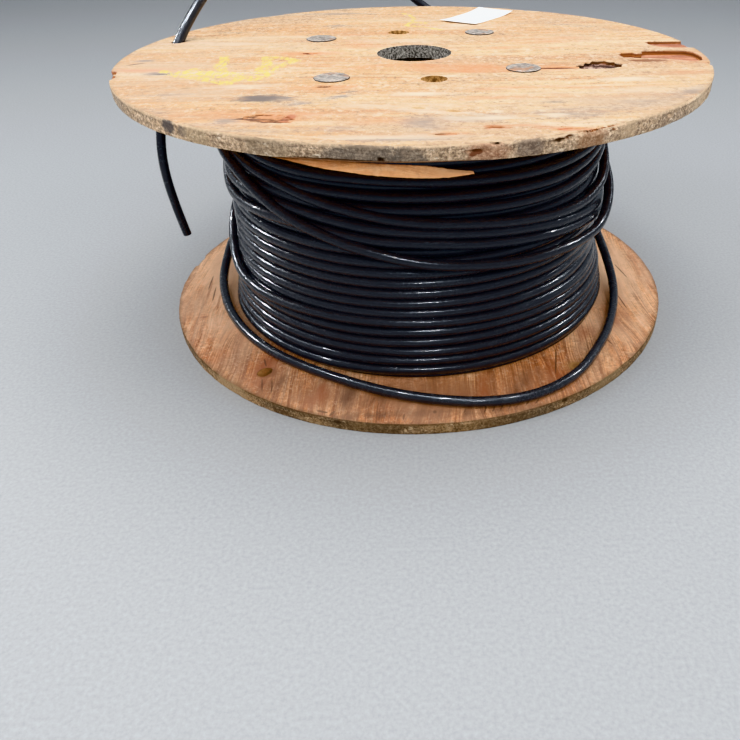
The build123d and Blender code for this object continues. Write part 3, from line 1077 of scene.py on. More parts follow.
# Cords: routes in millimetres
TAIL_ROUTE = [
    (196, -46, 184), (213, 38, 208), (200, 130, 223), (150, 228, 231), (88, 304, 238), (12, 340, 268),
    (-62, 312, 336), (-140, 232, 369), (-212, 142, 344), (-256.6, 86.1, 294.8), (-286.4, 49.3, 240.5),
    (-302, 22, 178), (-303, 18, 120), (-298, 26, 64),
]
LOOSE_HEIGHT = 18.3
LOOSE_ROUTE = [
    (229, 52, 66), (238, 20, 48), (243, -18, 32), (241, -62, LOOSE_HEIGHT + 4), (230, -106, LOOSE_HEIGHT),
    (213, -152, LOOSE_HEIGHT), (190, -195, LOOSE_HEIGHT), (161, -238, LOOSE_HEIGHT),
    (116, -270, LOOSE_HEIGHT), (66, -280, LOOSE_HEIGHT), (18, -275, LOOSE_HEIGHT),
    (-30, -262, LOOSE_HEIGHT), (-77, -240, LOOSE_HEIGHT), (-123, -213, LOOSE_HEIGHT),
    (-166, -181, LOOSE_HEIGHT), (-201, -140, LOOSE_HEIGHT), (-227, -95, LOOSE_HEIGHT),
    (-245, -47, LOOSE_HEIGHT + 2), (-254, 3, LOOSE_HEIGHT + 9), (-251, 50, LOOSE_HEIGHT + 22),
]


def cord_curve(name, route, node):
    """Round cable along a smooth spline through a route given in millimetres."""
    curve = bpy.data.curves.new(name, "CURVE")
    curve.dimensions = "3D"
    curve.resolution_u = 16
    curve.bevel_depth = CABLE_RADIUS
    curve.bevel_resolution = 6
    curve.use_fill_caps = True
    spline = curve.splines.new("NURBS")
    spline.points.add(len(route) - 1)
    for point, (x, y, z) in zip(spline.points, route):
        point.co = (x * MM, y * MM, z * MM, 1.0)
    spline.order_u = 3
    spline.use_endpoint_u = True
    curve.materials.append(cord_jacket)
    cord = bpy.data.objects.new(name, curve)
    bpy.context.scene.collection.objects.link(cord)
    stand_for(cord, node)
    return cord


tail = cord_curve("free_end", TAIL_ROUTE, "cable_tail")
loose = cord_curve("slack_turn", LOOSE_ROUTE, "cable_loose_turn")

# Flanges
# Straight holes: radius, steps round it, middles
ROUND_HOLES = (
    (ARBOR_RADIUS, 120, [(0, 0)]),
    (BOLT_HOLE_RADIUS, 24, [flat_polar(BOLT_CIRCLE, angle) for angle in BOLT_ANGLES]),
    (DRIVE_RADIUS, 56, [flat_polar(DRIVE_CIRCLE, angle) for angle in DRIVE_ANGLES]),
)
# Slanted cable holes: place in the upper face, direction in which the hole rises
TOP_CABLE_HOLE = (flat_polar(277.5 * MM, 164.96), 51.0)
BOTTOM_CABLE_HOLE = (flat_polar(270.5 * MM, 231.6), 232.0)
SLANTED_STEPS = 40
GROOVE_STEPS = 200
RECESS_STEPS = 48


def slanted_hole(centre, azimuth, top_height, low_height):
    """Outlines of a slanted cable hole in the upper and the lower face of a flange."""
    rise = math.radians(CABLE_HOLE_RISE)
    turn = math.radians(azimuth)
    shift = (top_height - low_height) / math.tan(rise)
    low_centre = (centre[0] - shift * math.cos(turn), centre[1] - shift * math.sin(turn))
    long_radius = CABLE_HOLE_RADIUS / math.sin(rise)
    return tuple(
        ring(place, long_radius, SLANTED_STEPS, CABLE_HOLE_RADIUS, turn) for place in (centre, low_centre)
    )


def straight_holes():
    """Arbor, bolt and drive holes, the same in both faces."""
    return [(ring(place, radius, steps),) * 2 for radius, steps, places in ROUND_HOLES for place in places]


def groove():
    """Ring that takes the end of the barrel tube."""
    outer = ring((0, 0), BARREL_RADIUS + GROOVE_GAP, GROOVE_STEPS)
    inner = ring((0, 0), BARREL_RADIUS - BARREL_WALL - GROOVE_GAP, GROOVE_STEPS)
    return Relief(outer, GROOVE_DEPTH, 0.0, inner)


# Dents of the rims: angle, share of the way down, half width in degrees, half height, depth in mm
TOP_DENTS = [
    (-95, 0.86, 0.7, 0.09, 2.6), (-81.5, 0.42, 0.9, 0.07, 3.2), (-82.6, 0.48, 0.6, 0.05, 2.4),
    (-79.2, 0.10, 0.6, 0.06, 2.2), (-69.5, 0.30, 1.0, 0.08, 3.4), (-67.9, 0.22, 0.7, 0.10, 3.0),
    (-60.5, 0.25, 0.5, 0.06, 2.0), (-139, 0.30, 1.1, 0.10, 1.6), (-47, 0.4, 0.8, 0.1, 1.6),
    (35, 0.5, 1.2, 0.1, 2.4), (100, 0.3, 0.9, 0.12, 2.8), (152, 0.6, 1.3, 0.1, 2.2),
]
BOTTOM_DENTS = [
    (-92.5, 0.45, 0.9, 0.14, 3.0), (-112, 0.5, 0.7, 0.08, 2.0), (-63, 0.5, 0.8, 0.10, 2.2),
    (-140, 0.3, 1.0, 0.1, 2.0), (20, 0.6, 1.2, 0.1, 2.4), (140, 0.4, 1.0, 0.12, 2.4),
]
# Places where the upper edge has broken away: angle, half width in degrees, depth in and down in mm
TOP_BREAKS = [
    (-163.5, 3.2, 4.2, 3.4), (-166.5, 1.4, 3.0, 5.0), (-12.6, 1.6, 3.0, 3.2), (-62.5, 5.5, 2.6, 1.9),
    (-74, 7.0, 1.2, 1.0), (-88, 9.0, 0.9, 0.9), (-127, 5.0, 1.1, 0.8), (60, 4.0, 3.0, 2.0),
    (128, 3.0, 2.6, 2.2), (-38, 4.0, 1.4, 1.2),
]
BOTTOM_BREAKS = [
    (-78, 12.0, 1.4, 1.2), (-104, 6.0, 1.0, 1.0), (-44, 4.0, 1.6, 1.4), (-150, 5.0, 1.2, 1.0),
    (45, 5.0, 2.0, 1.8), (170, 3.0, 2.4, 2.0),
]
# Wear of a rim: what is worn off all round, and the depths of its waves, seams and rounded edges
RIM_LOSS = 0.25 * MM
PLY_WAVE = 0.22 * MM
WIDE_WAVE = 0.28 * MM
FINE_WAVE = 0.16 * MM
SEAM_DEPTH = 0.35 * MM
ARRIS_LOSS = 0.55 * MM
ARRIS_SHARE = 0.10


def worn_rim(dents, breaks, seed, lost_ply=None):
    """Shape of a worn plywood edge, as how far its upper line drops and its radius."""

    def shape(angle, share):
        if angle > 180:
            angle -= 360
        drop = 0.0
        radius = FLANGE_RADIUS - RIM_LOSS
        ply = min(PLY_COUNT - 1, int(share * PLY_COUNT))
        seam = abs(share * PLY_COUNT - round(share * PLY_COUNT))
        radius += PLY_WAVE * smooth_noise(angle * 0.11, ply * 7.7, 0, seed)
        radius += WIDE_WAVE * smooth_noise(angle * 1.3, share * 9, 0, seed + 1)
        radius += FINE_WAVE * smooth_noise(angle * 6.0, share * 26, 0, seed + 2)
        if 0.05 < share < 0.95:
            opened = 0.5 + 0.5 * smooth_noise(angle * 0.4, ply, 0, seed)
            radius -= SEAM_DEPTH * max(0.0, 1 - seam * 7) * opened
        arris = max(0.0, 1 - share / ARRIS_SHARE) + max(0.0, 1 - (1 - share) / ARRIS_SHARE)
        radius -= ARRIS_LOSS * arris * (0.7 + 0.6 * smooth_noise(angle * 0.5, share, 0, seed + 3))
        for place, height, width, tall, deep in dents:
            gap = angle_between(angle, place)
            if abs(gap) < 3 * width:
                radius -= deep * MM * math.exp(-((gap / width) ** 2) - ((share - height) / tall) ** 2)
        for place, width, inwards, down in breaks:
            gap = angle_between(angle, place)
            if abs(gap) < 2.5 * width:
                along = max(0.0, 1 - abs(gap / width) ** 3)
                along *= 0.75 + 0.5 * smooth_noise(angle * 2.2, place, 0, seed + 4)
                along = max(0.0, along)
                fade = max(0.0, 1 - share * FLANGE_THICKNESS / MM / max(down * 1.6, 0.1))
                radius -= inwards * MM * along * fade
                if share == 0.0:
                    drop += down * MM * along
        if lost_ply and share > 0.99:
            start, end, height = lost_ply
            if start < angle < end:
                drop -= height * min(1.0, (angle - start) / 3, (end - angle) / 3)
        return drop, radius

    return shape


# Part of the top flange's rim that has lost its lowest ply: from, to, thickness of the ply
LOST_PLY = (-110.0, -80.0, 1.3 * MM)

LONG_TEAR = [
    (214, -22), (219, -13), (231, -11), (234, -16), (240, -16), (242, -5), (268, -3), (290, -5), (296, -14),
    (298, -34), (294, -50), (284, -57), (262, -44), (236, -39), (216, -35),
]
SHORT_TEAR = [
    (258, 40), (264, 45), (280, 44), (300, 43), (312, 42), (312, 8), (283, 10), (268, 14), (260, 26),
]
KNOT_HOLE = [
    (158, -74), (163, -66), (168, -66), (171, -56), (176, -57), (180, -48), (186, -50), (193, -48),
    (197, -53), (201, -54), (203, -60), (208, -64), (204, -76), (192, -82), (174, -84), (163, -83),
]
CRACK = [
    (112, -77.2), (130, -78.6), (148, -76.4), (162, -74.5), (162, -73.3), (148, -75.2), (130, -77.4),
    (112, -76.2),
]
SLIT = [(-90, -137), (-83, -135.4), (-75, -136.6), (-74, -138.4), (-82, -140), (-89, -139)]
WORN_KNOT = [
    (-137, -226), (-124, -220), (-106, -224), (-95, -236), (-97, -247), (-110, -246), (-126, -240),
    (-138, -234),
]
SMALL_KNOT = [(-119, 3), (-111, 6), (-103, 4), (-104, -1), (-112, -3), (-118, -1)]
FRONT_TEARS = [
    [(49, -267), (58, -262), (73, -264), (77, -268), (66, -271), (54, -271)],
    [(80, -266), (100, -262), (118, -266), (110, -270), (92, -270)],
    [(100, -274), (120, -276), (136, -272), (140, -264), (126, -268), (112, -270)],
    [(12, -279), (24, -276), (36, -279), (28, -283), (16, -283)],
]
# Patches of the top face: outline, step and jitter of its edge, depth, roughness of its floor, in mm
TOP_PATCHES = (
    (LONG_TEAR, 1.8, 0.45, 4.4, 0.9), (SHORT_TEAR, 1.8, 0.45, 2.9, 0.7), (KNOT_HOLE, 1.6, 0.7, 3.0, 2.0),
    (CRACK, 2.5, 0.10, 2.0, 0.0), (SLIT, 1.5, 0.3, 2.6, 0.0), (WORN_KNOT, 2.0, 0.9, 1.0, 1.4),
    (SMALL_KNOT, 1.6, 0.5, 0.8, 0.8),
)
FRONT_TEAR_SIZES = (1.8, 0.6, 0.9, 0.6)


def torn_patch(seed, corners, step, jitter, depth, rough):
    """Ragged patch of a face, its outline and sizes given in millimetres."""
    return Relief(ragged(in_metres(corners), step * MM, jitter * MM, seed), depth * MM, rough * MM)


top_reliefs = [torn_patch(seed, *sizes) for seed, sizes in enumerate(TOP_PATCHES, start=1)]
top_reliefs += [torn_patch(seed, tear, *FRONT_TEAR_SIZES) for seed, tear in enumerate(FRONT_TEARS, start=10)]
Plate(
    "top_plate", TOP_UNDERSIDE, DRUM_TOP, worn_rim(TOP_DENTS, TOP_BREAKS, seed=3, lost_ply=LOST_PLY),
    straight_holes() + [slanted_hole(*TOP_CABLE_HOLE, DRUM_TOP, TOP_UNDERSIDE)],
    top_reliefs, [groove()], seed=21,
).build(
    [face_wood, edge_wood, inner_wood], "top_flange", TOP_SMEARS,
    [("crayon", CRAYON, CRAYON_WIDTH), ("thin_crayon", THIN_CRAYON, THIN_CRAYON_WIDTH)],
)

recesses = [
    Relief(ring(flat_polar(BOLT_CIRCLE, angle), NUT_RECESS_RADIUS, RECESS_STEPS), NUT_RECESS_DEPTH)
    for angle in BOLT_ANGLES
]
Plate(
    "bottom_plate", bottom_low.z, bottom_high.z, worn_rim(BOTTOM_DENTS, BOTTOM_BREAKS, seed=8),
    straight_holes() + [slanted_hole(*BOTTOM_CABLE_HOLE, bottom_high.z, bottom_low.z)],
    [groove()], recesses, seed=22,
).build([lower_wood, lower_edge_wood, lower_wood], "bottom_flange", LOWER_STAINS_AND_SHADE)


# Sliver of the lowest ply that hangs from the rim: angle, height of its upper and lower line in mm
SLIVER = [
    (-111, 261.0, 260.6), (-109, 260.8, 260.0), (-107, 260.6, 258.4), (-105, 260.5, 256.8),
    (-103, 260.4, 255.4), (-100, 260.0, 254.0), (-97, 259.2, 252.4), (-94, 258.7, 251.2),
    (-91, 258.0, 250.4), (-88.5, 257.2, 250.0), (-87, 255.8, 249.8), (-85.5, 254.4, 250.0),
    (-84, 253.2, 250.6), (-82, 252.2, 251.8),
]
SLIVER_COLUMNS = 96
SLIVER_ROWS = 5
SLIVER_RADIUS = 299.2
SLIVER_LEAN = 4.2
SLIVER_THICKNESS = 1.1
SLIVER_TEAR = 0.35


def hanging_sliver():
    """Thin strip of veneer that has come away under the front of the top flange."""
    points = []
    faces = []
    rows = SLIVER_ROWS
    for column in range(SLIVER_COLUMNS + 1):
        share = column / SLIVER_COLUMNS * (len(SLIVER) - 1)
        index = min(int(share), len(SLIVER) - 2)
        part = share - index
        angle, high, low = (a + (b - a) * part for a, b in zip(SLIVER[index], SLIVER[index + 1]))
        tear = SLIVER_TEAR * smooth_noise(angle * 1.7, 0, seed=31)
        for side in (0, 1):
            for row in range(rows + 1):
                down = row / rows
                height = high + (low - high) * down + (tear if row in (0, rows) else 0)
                inwards = SLIVER_THICKNESS * side * (0.4 + 0.6 * min(1, (high - low) / 5))
                radius = SLIVER_RADIUS + SLIVER_LEAN * down - inwards
                points.append(polar(radius * MM, angle, height * MM))
    stride = 2 * (rows + 1)
    for column in range(SLIVER_COLUMNS):
        start = column * stride
        for a in range(start, start + rows):
            b = a + stride
            c = a + rows + 1
            d = c + stride
            faces += [(a, a + 1, b + 1, b), (c, d, d + 1, c + 1)]
        low = start + rows
        faces.append((start, start + stride, start + stride + rows + 1, start + rows + 1))
        faces.append((low, low + rows + 1, low + stride + rows + 1, low + stride))
    piece = mesh_piece("hanging_sliver", points, faces, sliver_wood, smooth=False)
    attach(piece, "root")


hanging_sliver()

# Winding
TUBE_SIDES = 14
BASE_TURNS = 23
STEPS_PER_TURN = 150
STEPS_PER_KNOT = 8
# Heights of the regular turns go up by a little less than the pitch of the cable
CLIMB = 0.995
# The first regular turn starts here
START_ANGLE = -276
CREST_RADIUS = 212 * MM
FOOT_FLARE = 21.5 * MM
UPPER_STEP = 4.5 * MM
# Waist: depth, then the angle and height of its middle with their spreads
WAIST_DEPTH = 10.0 * MM
WAIST_ANGLE, WAIST_WIDTH = -12.0, 34.0
WAIST_HEIGHT, WAIST_TALL = 98, 25
# The core reaches in between the regular turns, and its upper end lies below theirs
CORE_REACH = 3.0 * MM
CORE_RIDGE = 2.0 * MM
LAYER_DROP = 3.0 * MM
LAYER_RIDGE = 2.6 * MM
CORE_LAYERS = 5
RIDGE_STEPS = 6
CORE_STEPS = 160
# An end of a crossing turn that lies within the limit goes on by the lead to the buried radius
OUTER_LIMIT = 218
BURIED_RADIUS = 194
LEAD_ANGLE = 12


def round_faces(rings, steps, closed=False):
    """Faces between rings of points, as two corners of one ring and two of the next."""
    faces = []
    for ring_number in range(rings if closed else rings - 1):
        first = ring_number * steps
        second = (ring_number + 1) % rings * steps
        for step in range(steps):
            after = (step + 1) % steps
            faces.append((first + step, first + after, second + after, second + step))
    return faces


def tube_mesh(path):
    """Points and faces of a length of cable along a path."""
    points = []
    count = len(path)
    for index, place in enumerate(path):
        before = path[max(index - 1, 0)]
        after = path[min(index + 1, count - 1)]
        along = (after - before).normalized()
        out = Vector((place.x, place.y, 0)).normalized()
        out = (out - along * out.dot(along)).normalized()
        up = along.cross(out)
        for side in range(TUBE_SIDES):
            turn = 2 * math.pi * side / TUBE_SIDES
            points.append(place + CABLE_RADIUS * (math.cos(turn) * out + math.sin(turn) * up))
    faces = round_faces(count, TUBE_SIDES)
    faces.append(tuple(range(TUBE_SIDES)))
    faces.append(tuple(reversed(range(len(points) - TUBE_SIDES, len(points)))))
    return points, faces


def smooth_through(knots, steps):
    """Places on a smooth line through rows of numbers."""
    rows = []
    count = len(knots)
    for index in range(count - 1):
        nearby = [knots[min(max(index + shift, 0), count - 1)] for shift in (-1, 0, 1, 2)]
        for step in range(steps):
            t = step / steps
            row = []
            for a, b, c, d in zip(*nearby):
                bend = 2 * a - 5 * b + 4 * c - d
                twist = 3 * b - a - 3 * c + d
                row.append(0.5 * (2 * b + (c - a) * t + bend * t * t + twist * t ** 3))
            rows.append(row)
    rows.append(list(knots[-1]))
    return rows


def crest_radius(height, angle=90.0):
    """Outer radius of the regular turns at a height and an angle."""
    share = min(1.0, max(0.0, (height - WINDING_FOOT) / (WINDING_TOP - WINDING_FOOT)))
    foot = FOOT_FLARE * (1 - share) ** 2.5
    sunk = UPPER_STEP * min(1.0, max(0.0, (share - 0.50) / 0.10))
    across = math.exp(-((angle_between(angle, WAIST_ANGLE) / WAIST_WIDTH) ** 2))
    upright = math.exp(-(((height / MM - WAIST_HEIGHT) / WAIST_TALL) ** 2))
    return CREST_RADIUS + foot - sunk - WAIST_DEPTH * across * upright


def regular_turns():
    """Helix of the outer layer, slightly uneven."""
    path = []
    lowest = WINDING_FOOT + CABLE_RADIUS
    for step in range(BASE_TURNS * STEPS_PER_TURN + 1):
        turn = step / STEPS_PER_TURN
        angle = START_ANGLE + 360 * turn
        height = max(lowest + (turn - 0.25) * TURN_PITCH * CLIMB, lowest)
        height = min(height, WINDING_TOP - CABLE_RADIUS)
        number = int(turn + 0.5)
        x, y = math.cos(math.radians(angle)), math.sin(math.radians(angle))
        height += 0.9 * MM * smooth_noise(x * 1.3, y * 1.3, number * 0.35, seed=41)
        out = 1.3 * MM * smooth_noise(x * 1.6, y * 1.6, turn * 0.8, seed=42)
        out += 0.8 * MM * smooth_noise(number * 3.3, 0, seed=43)
        path.append(polar(crest_radius(height, angle) - CABLE_RADIUS + out, angle, height))
    return tube_mesh(path)


# Turns that lie over the regular ones: angle, height and radius of the cable's middle, in mm
CROSSING_TURNS = {
    "steep_turn": [
        (-230, 240, 205), (-205, 238, 208), (-185, 233, 211), (-170, 226, 215), (-158, 217, 218),
        (-150, 208, 219.5), (-144, 200, 219.5), (-138, 190, 219), (-130, 178, 219), (-122, 168, 219),
        (-115, 161, 219), (-108, 154, 219), (-100, 147.5, 219.5), (-92, 141, 220), (-84, 136.5, 220.5),
        (-75, 133, 221), (-64, 129.5, 222), (-54, 128.5, 223.5), (-45, 128, 225), (-38, 128, 226),
        (-33, 129.5, 227), (-29, 134, 227.5), (-25.5, 142, 227), (-22, 151, 225), (-19, 161, 221.5),
        (-16.5, 172, 216), (-14, 182, 210.5), (-12.3, 188, 207),
    ],
    "upper_diagonal": [
        (-190, 221, 205), (-170, 216, 208), (-158, 212, 210.5), (-149, 208, 211.5), (-140, 204, 212),
        (-132, 200, 212), (-125, 196, 212), (-119, 192, 212), (-111, 187, 212.5), (-104, 183, 212.5),
        (-96, 178.5, 212.5), (-87, 175, 212.5), (-77, 172, 212.5), (-68, 168.5, 212.5), (-58, 165, 213),
        (-48, 162, 213.5), (-37, 160, 214), (-30, 162.5, 215), (-24, 168, 216), (-18, 176, 214.5),
        (-12, 186, 211), (-4, 197, 207), (8, 206, 204), (25, 211, 203),
    ],
    "middle_diagonal": [
        (-185, 186, 207), (-170, 182, 210), (-158, 179.5, 212), (-148, 178, 212.5), (-135, 178, 212.5),
        (-124, 177, 212), (-114, 174, 212), (-101, 169, 212), (-87, 165.5, 212), (-77, 162.5, 212),
        (-68, 159.5, 212), (-58, 156, 212.5), (-50, 152.5, 213), (-43, 150, 213.5), (-37, 147.5, 214),
        (-28, 144, 215), (-18, 141, 214), (-6, 138, 212), (10, 136, 210), (30, 135, 208),
    ],
    "lower_diagonal": [
        (-200, 206, 203), (-186, 198, 207), (-178, 190, 209), (-170, 179, 212), (-163, 170, 214),
        (-156, 165, 215.5), (-148, 163.5, 216.5), (-136, 165, 217), (-126, 165.5, 215.5),
        (-117, 163, 213.5), (-108, 160, 213), (-100, 157.5, 213), (-92, 156.5, 213), (-84, 154.5, 213),
        (-76, 151.5, 213), (-68, 149, 213), (-58, 145.5, 213.5), (-50, 142.5, 214), (-43, 140, 214.5),
        (-37, 138, 215), (-28, 134.5, 216), (-18, 131, 215.5), (-5, 128, 214), (12, 126, 212),
    ],
    "left_bulge": [
        (-215, 136, 207), (-200, 134, 210), (-188, 129, 213), (-180, 122, 216), (-172, 108, 220),
        (-165, 93, 223), (-158, 80.5, 225), (-150, 75, 226), (-140, 73.5, 225.5), (-130, 73.5, 223.5),
        (-118, 74, 221.5), (-104, 74, 219.5), (-90, 73.5, 218.5), (-75, 73, 218), (-55, 72, 217.5),
        (-35, 71, 216), (-15, 70, 213), (5, 69.5, 208.5), (25, 69, 203),
    ],
    "slack_start": [
        (12.8, 66, 234.8), (16, 72.5, 233.8), (22, 80, 230.5), (31, 88, 224.5), (44, 94, 217.5),
        (57, 97, 211.5), (72, 99, 206), (88, 100, 202),
    ],
    "slack_end": [
        (168.7, 40.3, 256), (163, 46, 253), (156, 53.5, 247.5), (147, 62, 239), (137, 70, 229.5),
        (126, 77, 221), (114, 82, 213), (100, 85, 206), (86, 86, 201),
    ],
    "level_turn_a": [
        (-180, 219, 203), (-160, 218, 206), (-145, 217.5, 207.5), (-128, 214, 208), (-115, 213.5, 208),
        (-100, 213.5, 208), (-80, 211.5, 208), (-60, 209.5, 208), (-45, 210, 208), (-32, 213, 208),
        (-20, 219, 207), (-5, 224, 205), (15, 227, 203),
    ],
    "level_turn_b": [
        (-182, 205, 203), (-165, 202, 206), (-150, 199.5, 207.5), (-141, 198.5, 208), (-128, 199, 208),
        (-113, 199, 208), (-100, 198.5, 208), (-87, 198, 208), (-70, 197.5, 208), (-50, 197, 208.5),
        (-38, 200, 208.5), (-28, 205, 208), (-15, 211, 206), (5, 216, 203),
    ],
    "level_turn_c": [
        (-175, 197, 204), (-160, 195, 206.5), (-150, 193.5, 208), (-145, 193, 208.5), (-140, 189.5, 208.5),
        (-134, 187, 208.5), (-126, 187.5, 208.5), (-117, 186, 208), (-105, 186, 207.5), (-87, 186, 208),
        (-68, 184, 208.5), (-50, 183.5, 209), (-40, 186, 209), (-30, 191, 209), (-18, 198, 207),
        (0, 204, 204),
    ],
}


def led_under(knots):
    """Route of a turn with its ends led under the regular turns, but for an end that meets a cord."""
    lead = LEAD_ANGLE if knots[-1][0] > knots[0][0] else -LEAD_ANGLE
    route = list(knots)
    if knots[0][2] < OUTER_LIMIT:
        route.insert(0, (knots[0][0] - lead, knots[0][1], BURIED_RADIUS))
    if knots[-1][2] < OUTER_LIMIT:
        route.append((knots[-1][0] + lead, knots[-1][1], BURIED_RADIUS))
    return route


def crossing_turns():
    """Tubes of the turns that cross the regular ones."""
    points = []
    faces = []
    for knots in CROSSING_TURNS.values():
        route = smooth_through(led_under(knots), STEPS_PER_KNOT)
        path = [polar(radius * MM, angle, height * MM) for angle, height, radius in route]
        tube_points, tube_faces = tube_mesh(path)
        first = len(points)
        points += tube_points
        faces += [tuple(first + i for i in face) for face in tube_faces]
    return points, faces


def winding_core():
    """Turns under the outer layer, as one ringed body about the barrel."""
    profile = []
    bore = BARREL_RADIUS + GROOVE_GAP
    rows = BASE_TURNS * RIDGE_STEPS
    for row in range(rows + 1):
        height = WINDING_FOOT + row / rows * (WINDING_TOP - WINDING_FOOT)
        wave = abs(math.sin(math.pi * (row / RIDGE_STEPS + 0.5)))
        profile.append((crest_radius(height) - 2 * CABLE_RADIUS + CORE_RIDGE * wave + CORE_REACH, height))
    rows = CORE_LAYERS * RIDGE_STEPS
    outer = profile[-1][0]
    for row in range(rows + 1):
        wave = abs(math.sin(math.pi * row / RIDGE_STEPS))
        profile.append((outer + (bore - outer) * row / rows, WINDING_TOP - LAYER_DROP + LAYER_RIDGE * wave))
    profile.append((bore, WINDING_FOOT))
    points = []
    for radius, height in profile:
        points += [polar(radius, 360 * step / CORE_STEPS, height) for step in range(CORE_STEPS)]
    return points, [(b, c, d, a) for a, b, c, d in round_faces(len(profile), CORE_STEPS, closed=True)]


for name, (points, faces) in (
    ("winding_core", winding_core()),
    ("winding_turns", regular_turns()),
    ("crossing_turns", crossing_turns()),
):
    stand_for(mesh_piece(name, points, faces, jacket), "cable_winding")


# Bolts: radius and height of the profile over the top face, in mm
BOLT_PROFILE = [
    (0.0, 2.0), (3.2, 2.0), (4.2, 1.75), (5.6, 1.75), (6.6, 2.0), (12.0, 2.0), (13.5, 1.8), (16.0, 1.55),
    (17.0, 1.2), (17.2, 0.7), (16.9, 0.15), (16.2, 0.0), (4.8, 0.0), (4.8, -273.0), (0.0, -273.0),
]
BOLT_STEPS = 96
NICKED_FROM = 14.5
NICKS = 14
NICK_DEPTH = 0.75
HEAD_WARP = 0.35 * MM


def bolt_piece(number, angle):
    """Through bolt with a thin pressed head, nicked round its edge."""
    centre = polar(BOLT_CIRCLE, angle)
    points = []
    for radius, height in BOLT_PROFILE:
        for step in range(BOLT_STEPS):
            turn = 360 * step / BOLT_STEPS
            nick = 0.0
            if radius > NICKED_FROM:
                nick = NICK_DEPTH * max(0.0, math.cos(math.radians(turn * NICKS + 40 * number))) ** 6
                nick += 0.25 * smooth_noise(turn * 0.3, number, seed=51)
            spot = polar((radius - nick) * MM, turn)
            lift = 0.0
            if height > 0:
                warp = smooth_noise(turn * 0.02, radius * 0.1, number, seed=52)
                lift = HEAD_WARP * warp * min(1, radius / 10)
            points.append(centre + spot + Vector((0, 0, DRUM_TOP + height * MM + lift)))
    faces = [(a, d, c, b) for a, b, c, d in round_faces(len(BOLT_PROFILE), BOLT_STEPS)]
    stand_for(mesh_piece(f"bolt_{number}", points, faces, zinc), f"reel_bolt_{number}")


for number, angle in enumerate(BOLT_ANGLES, start=1):
    bolt_piece(number, angle)


# Paper tag
TAG_CENTRE = Vector((83.5 * MM, 209.5 * MM, 0))
TAG_ANGLE = 56.0
TAG_LENGTH = 102 * MM
TAG_WIDTH = 52 * MM
TAG_COLUMNS = 36
TAG_ROWS = 18
TAG_GAP = 0.15 * MM
TAG_THICKNESS = 0.25 * MM


def tag_curl(u, v):
    """How far the tag lifts off the top face, at a place from -0.5 to 0.5 along and across it."""
    ends = 2.6 * MM * max(0, u - 0.1) ** 2 * 6 + 1.6 * MM * max(0, -u - 0.2) ** 2 * 9
    side = 2.0 * MM * max(0, v - 0.2) ** 2 * 3
    return ends + 0.5 * MM * (0.5 + 0.5 * smooth_noise(u * 3, v * 3, seed=61)) + side


def tag_piece():
    """Blank sheet of paper, a little curled."""
    cos, sin = math.cos(math.radians(TAG_ANGLE)), math.sin(math.radians(TAG_ANGLE))
    columns, rows = TAG_COLUMNS, TAG_ROWS
    points = []
    faces = []
    for layer in (0, 1):
        for row in range(rows + 1):
            for column in range(columns + 1):
                u = column / columns - 0.5
                v = row / rows - 0.5
                x = u * TAG_LENGTH
                y = v * TAG_WIDTH
                height = DRUM_TOP + TAG_GAP + tag_curl(u, v) + TAG_THICKNESS * layer
                points.append((TAG_CENTRE.x + x * cos - y * sin, TAG_CENTRE.y + x * sin + y * cos, height))
    stride = columns + 1
    size = (rows + 1) * stride
    for layer in (0, 1):
        for row in range(rows):
            for column in range(columns):
                a = layer * size + row * stride + column
                face = (a, a + 1, a + stride + 1, a + stride)
                faces.append(face if layer else face[::-1])
    border = list(range(columns))
    border += [row * stride + columns for row in range(rows)]
    border += [rows * stride + column for column in range(columns, 0, -1)]
    border += [row * stride for row in range(rows, 0, -1)]
    for a, b in zip(border, border[1:] + border[:1]):
        faces.append((a, b, b + size, a + size))
    stand_for(mesh_piece("blank_tag", points, faces, paper), "paper_tag")


tag_piece()

# CAD nodes that stay
PLAIN_NODES = {"barrel_tube": fibre_board, **{f"reel_nut_{number}": zinc for number in range(1, 5)}}
for node_name, material in PLAIN_NODES.items():
    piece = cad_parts[node_name]
    piece.data.materials.clear()
    piece.data.materials.append(material)

# Camera, its angles in radians
CAMERA_PLACE = (0.0, -0.7904, 0.4271)
CAMERA_YAW = -0.0320
CAMERA_PITCH = 0.6923
CAMERA_ROLL = -0.0056
CAMERA_LENS = 32.21
CAMERA_SHIFT = (-0.0946, 0.0609)
camera_data = bpy.data.cameras.new("camera")
camera_data.lens = CAMERA_LENS
camera_data.sensor_width = 36.0
camera_data.shift_x, camera_data.shift_y = CAMERA_SHIFT
camera_data.clip_start = 0.01
camera = bpy.data.objects.new("camera", camera_data)
camera.location = CAMERA_PLACE
forward = Vector((
    -math.sin(CAMERA_YAW) * math.cos(CAMERA_PITCH),
    math.cos(CAMERA_YAW) * math.cos(CAMERA_PITCH),
    -math.sin(CAMERA_PITCH),
))
aim = forward.to_track_quat("-Z", "Y").to_matrix()
camera.rotation_euler = (aim @ Matrix.Rotation(CAMERA_ROLL, 3, "Z")).to_euler()
bpy.context.scene.collection.objects.link(camera)
bpy.context.scene.camera = camera

# Floor and light
FLOOR_SIZE = 14.0
SKY = (0.80, 0.89, 1.0, 1.0)
SKY_STRENGTH = 0.40
LIGHT_AIM = Vector((0, 0, 0.14))
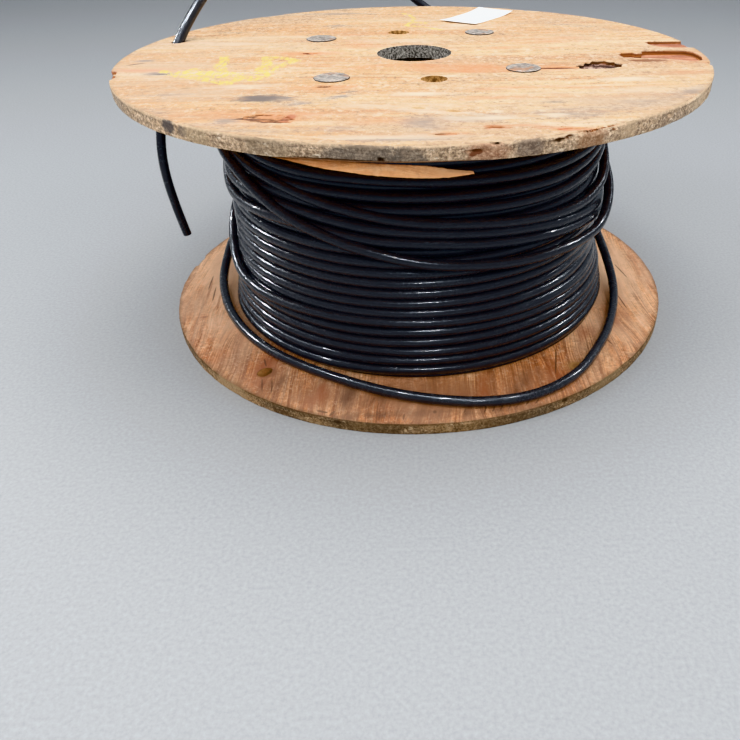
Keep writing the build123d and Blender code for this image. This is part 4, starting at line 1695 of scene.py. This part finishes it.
# Soft lamps that never show in reflections: name, place, size, power
FILLS = (
    ("overhead", (0.3, 0.2, 2.8), (2.6, 2.6), 78),
    ("front_fill", (0.0, -3.0, 2.0), (2.6, 1.6), 46),
    ("right_fill", (2.8, -0.6, 1.9), (1.6, 1.6), 36),
    ("left_fill", (-2.8, -0.6, 1.9), (1.6, 1.6), 52),
)
# Narrow lamps that show only in reflections and give each turn its short bright streaks
UPRIGHT = (0.09, 0.40)
STREAKS = (
    ("streak_0", (-0.39, -0.9, 2.8), UPRIGHT, 38),
    ("streak_1", (-0.85, -0.55, 2.65), UPRIGHT, 38),
    ("streak_2", (-1.4, -0.05, 2.3), UPRIGHT, 38),
    ("streak_3", (-2.3, 1.05, 1.6), UPRIGHT, 38),
    ("streak_4", (2.2, 0.6, 1.8), UPRIGHT, 26),
    ("streak_5", (0.9, -0.6, 2.6), UPRIGHT, 26),
    ("streak_front", (0.15, -2.0, 2.25), (0.6, 0.05), 26),
)

bpy.ops.mesh.primitive_plane_add(size=FLOOR_SIZE, location=(0, 0, 0))
floor = bpy.context.object
floor.name = "studio_floor"
floor.data.materials.append(speckled_floor())

world = bpy.data.worlds.new("studio")
world.use_nodes = True
world.node_tree.nodes["Background"].inputs["Color"].default_value = SKY
world.node_tree.nodes["Background"].inputs["Strength"].default_value = SKY_STRENGTH
bpy.context.scene.world = world
bpy.context.scene.view_settings.view_transform = "Khronos PBR Neutral"


def soft_light(name, place, size, power, streak):
    """Rectangular light that points at the drum."""
    data = bpy.data.lights.new(name, "AREA")
    data.shape = "RECTANGLE"
    data.size, data.size_y = size
    data.energy = power
    lamp = bpy.data.objects.new(name, data)
    lamp.location = place
    lamp.rotation_euler = (LIGHT_AIM - Vector(place)).to_track_quat("-Z", "Y").to_euler()
    lamp.visible_glossy = streak
    lamp.visible_diffuse = not streak
    bpy.context.scene.collection.objects.link(lamp)


for lamp in FILLS:
    soft_light(*lamp, streak=False)
for lamp in STREAKS:
    soft_light(*lamp, streak=True)
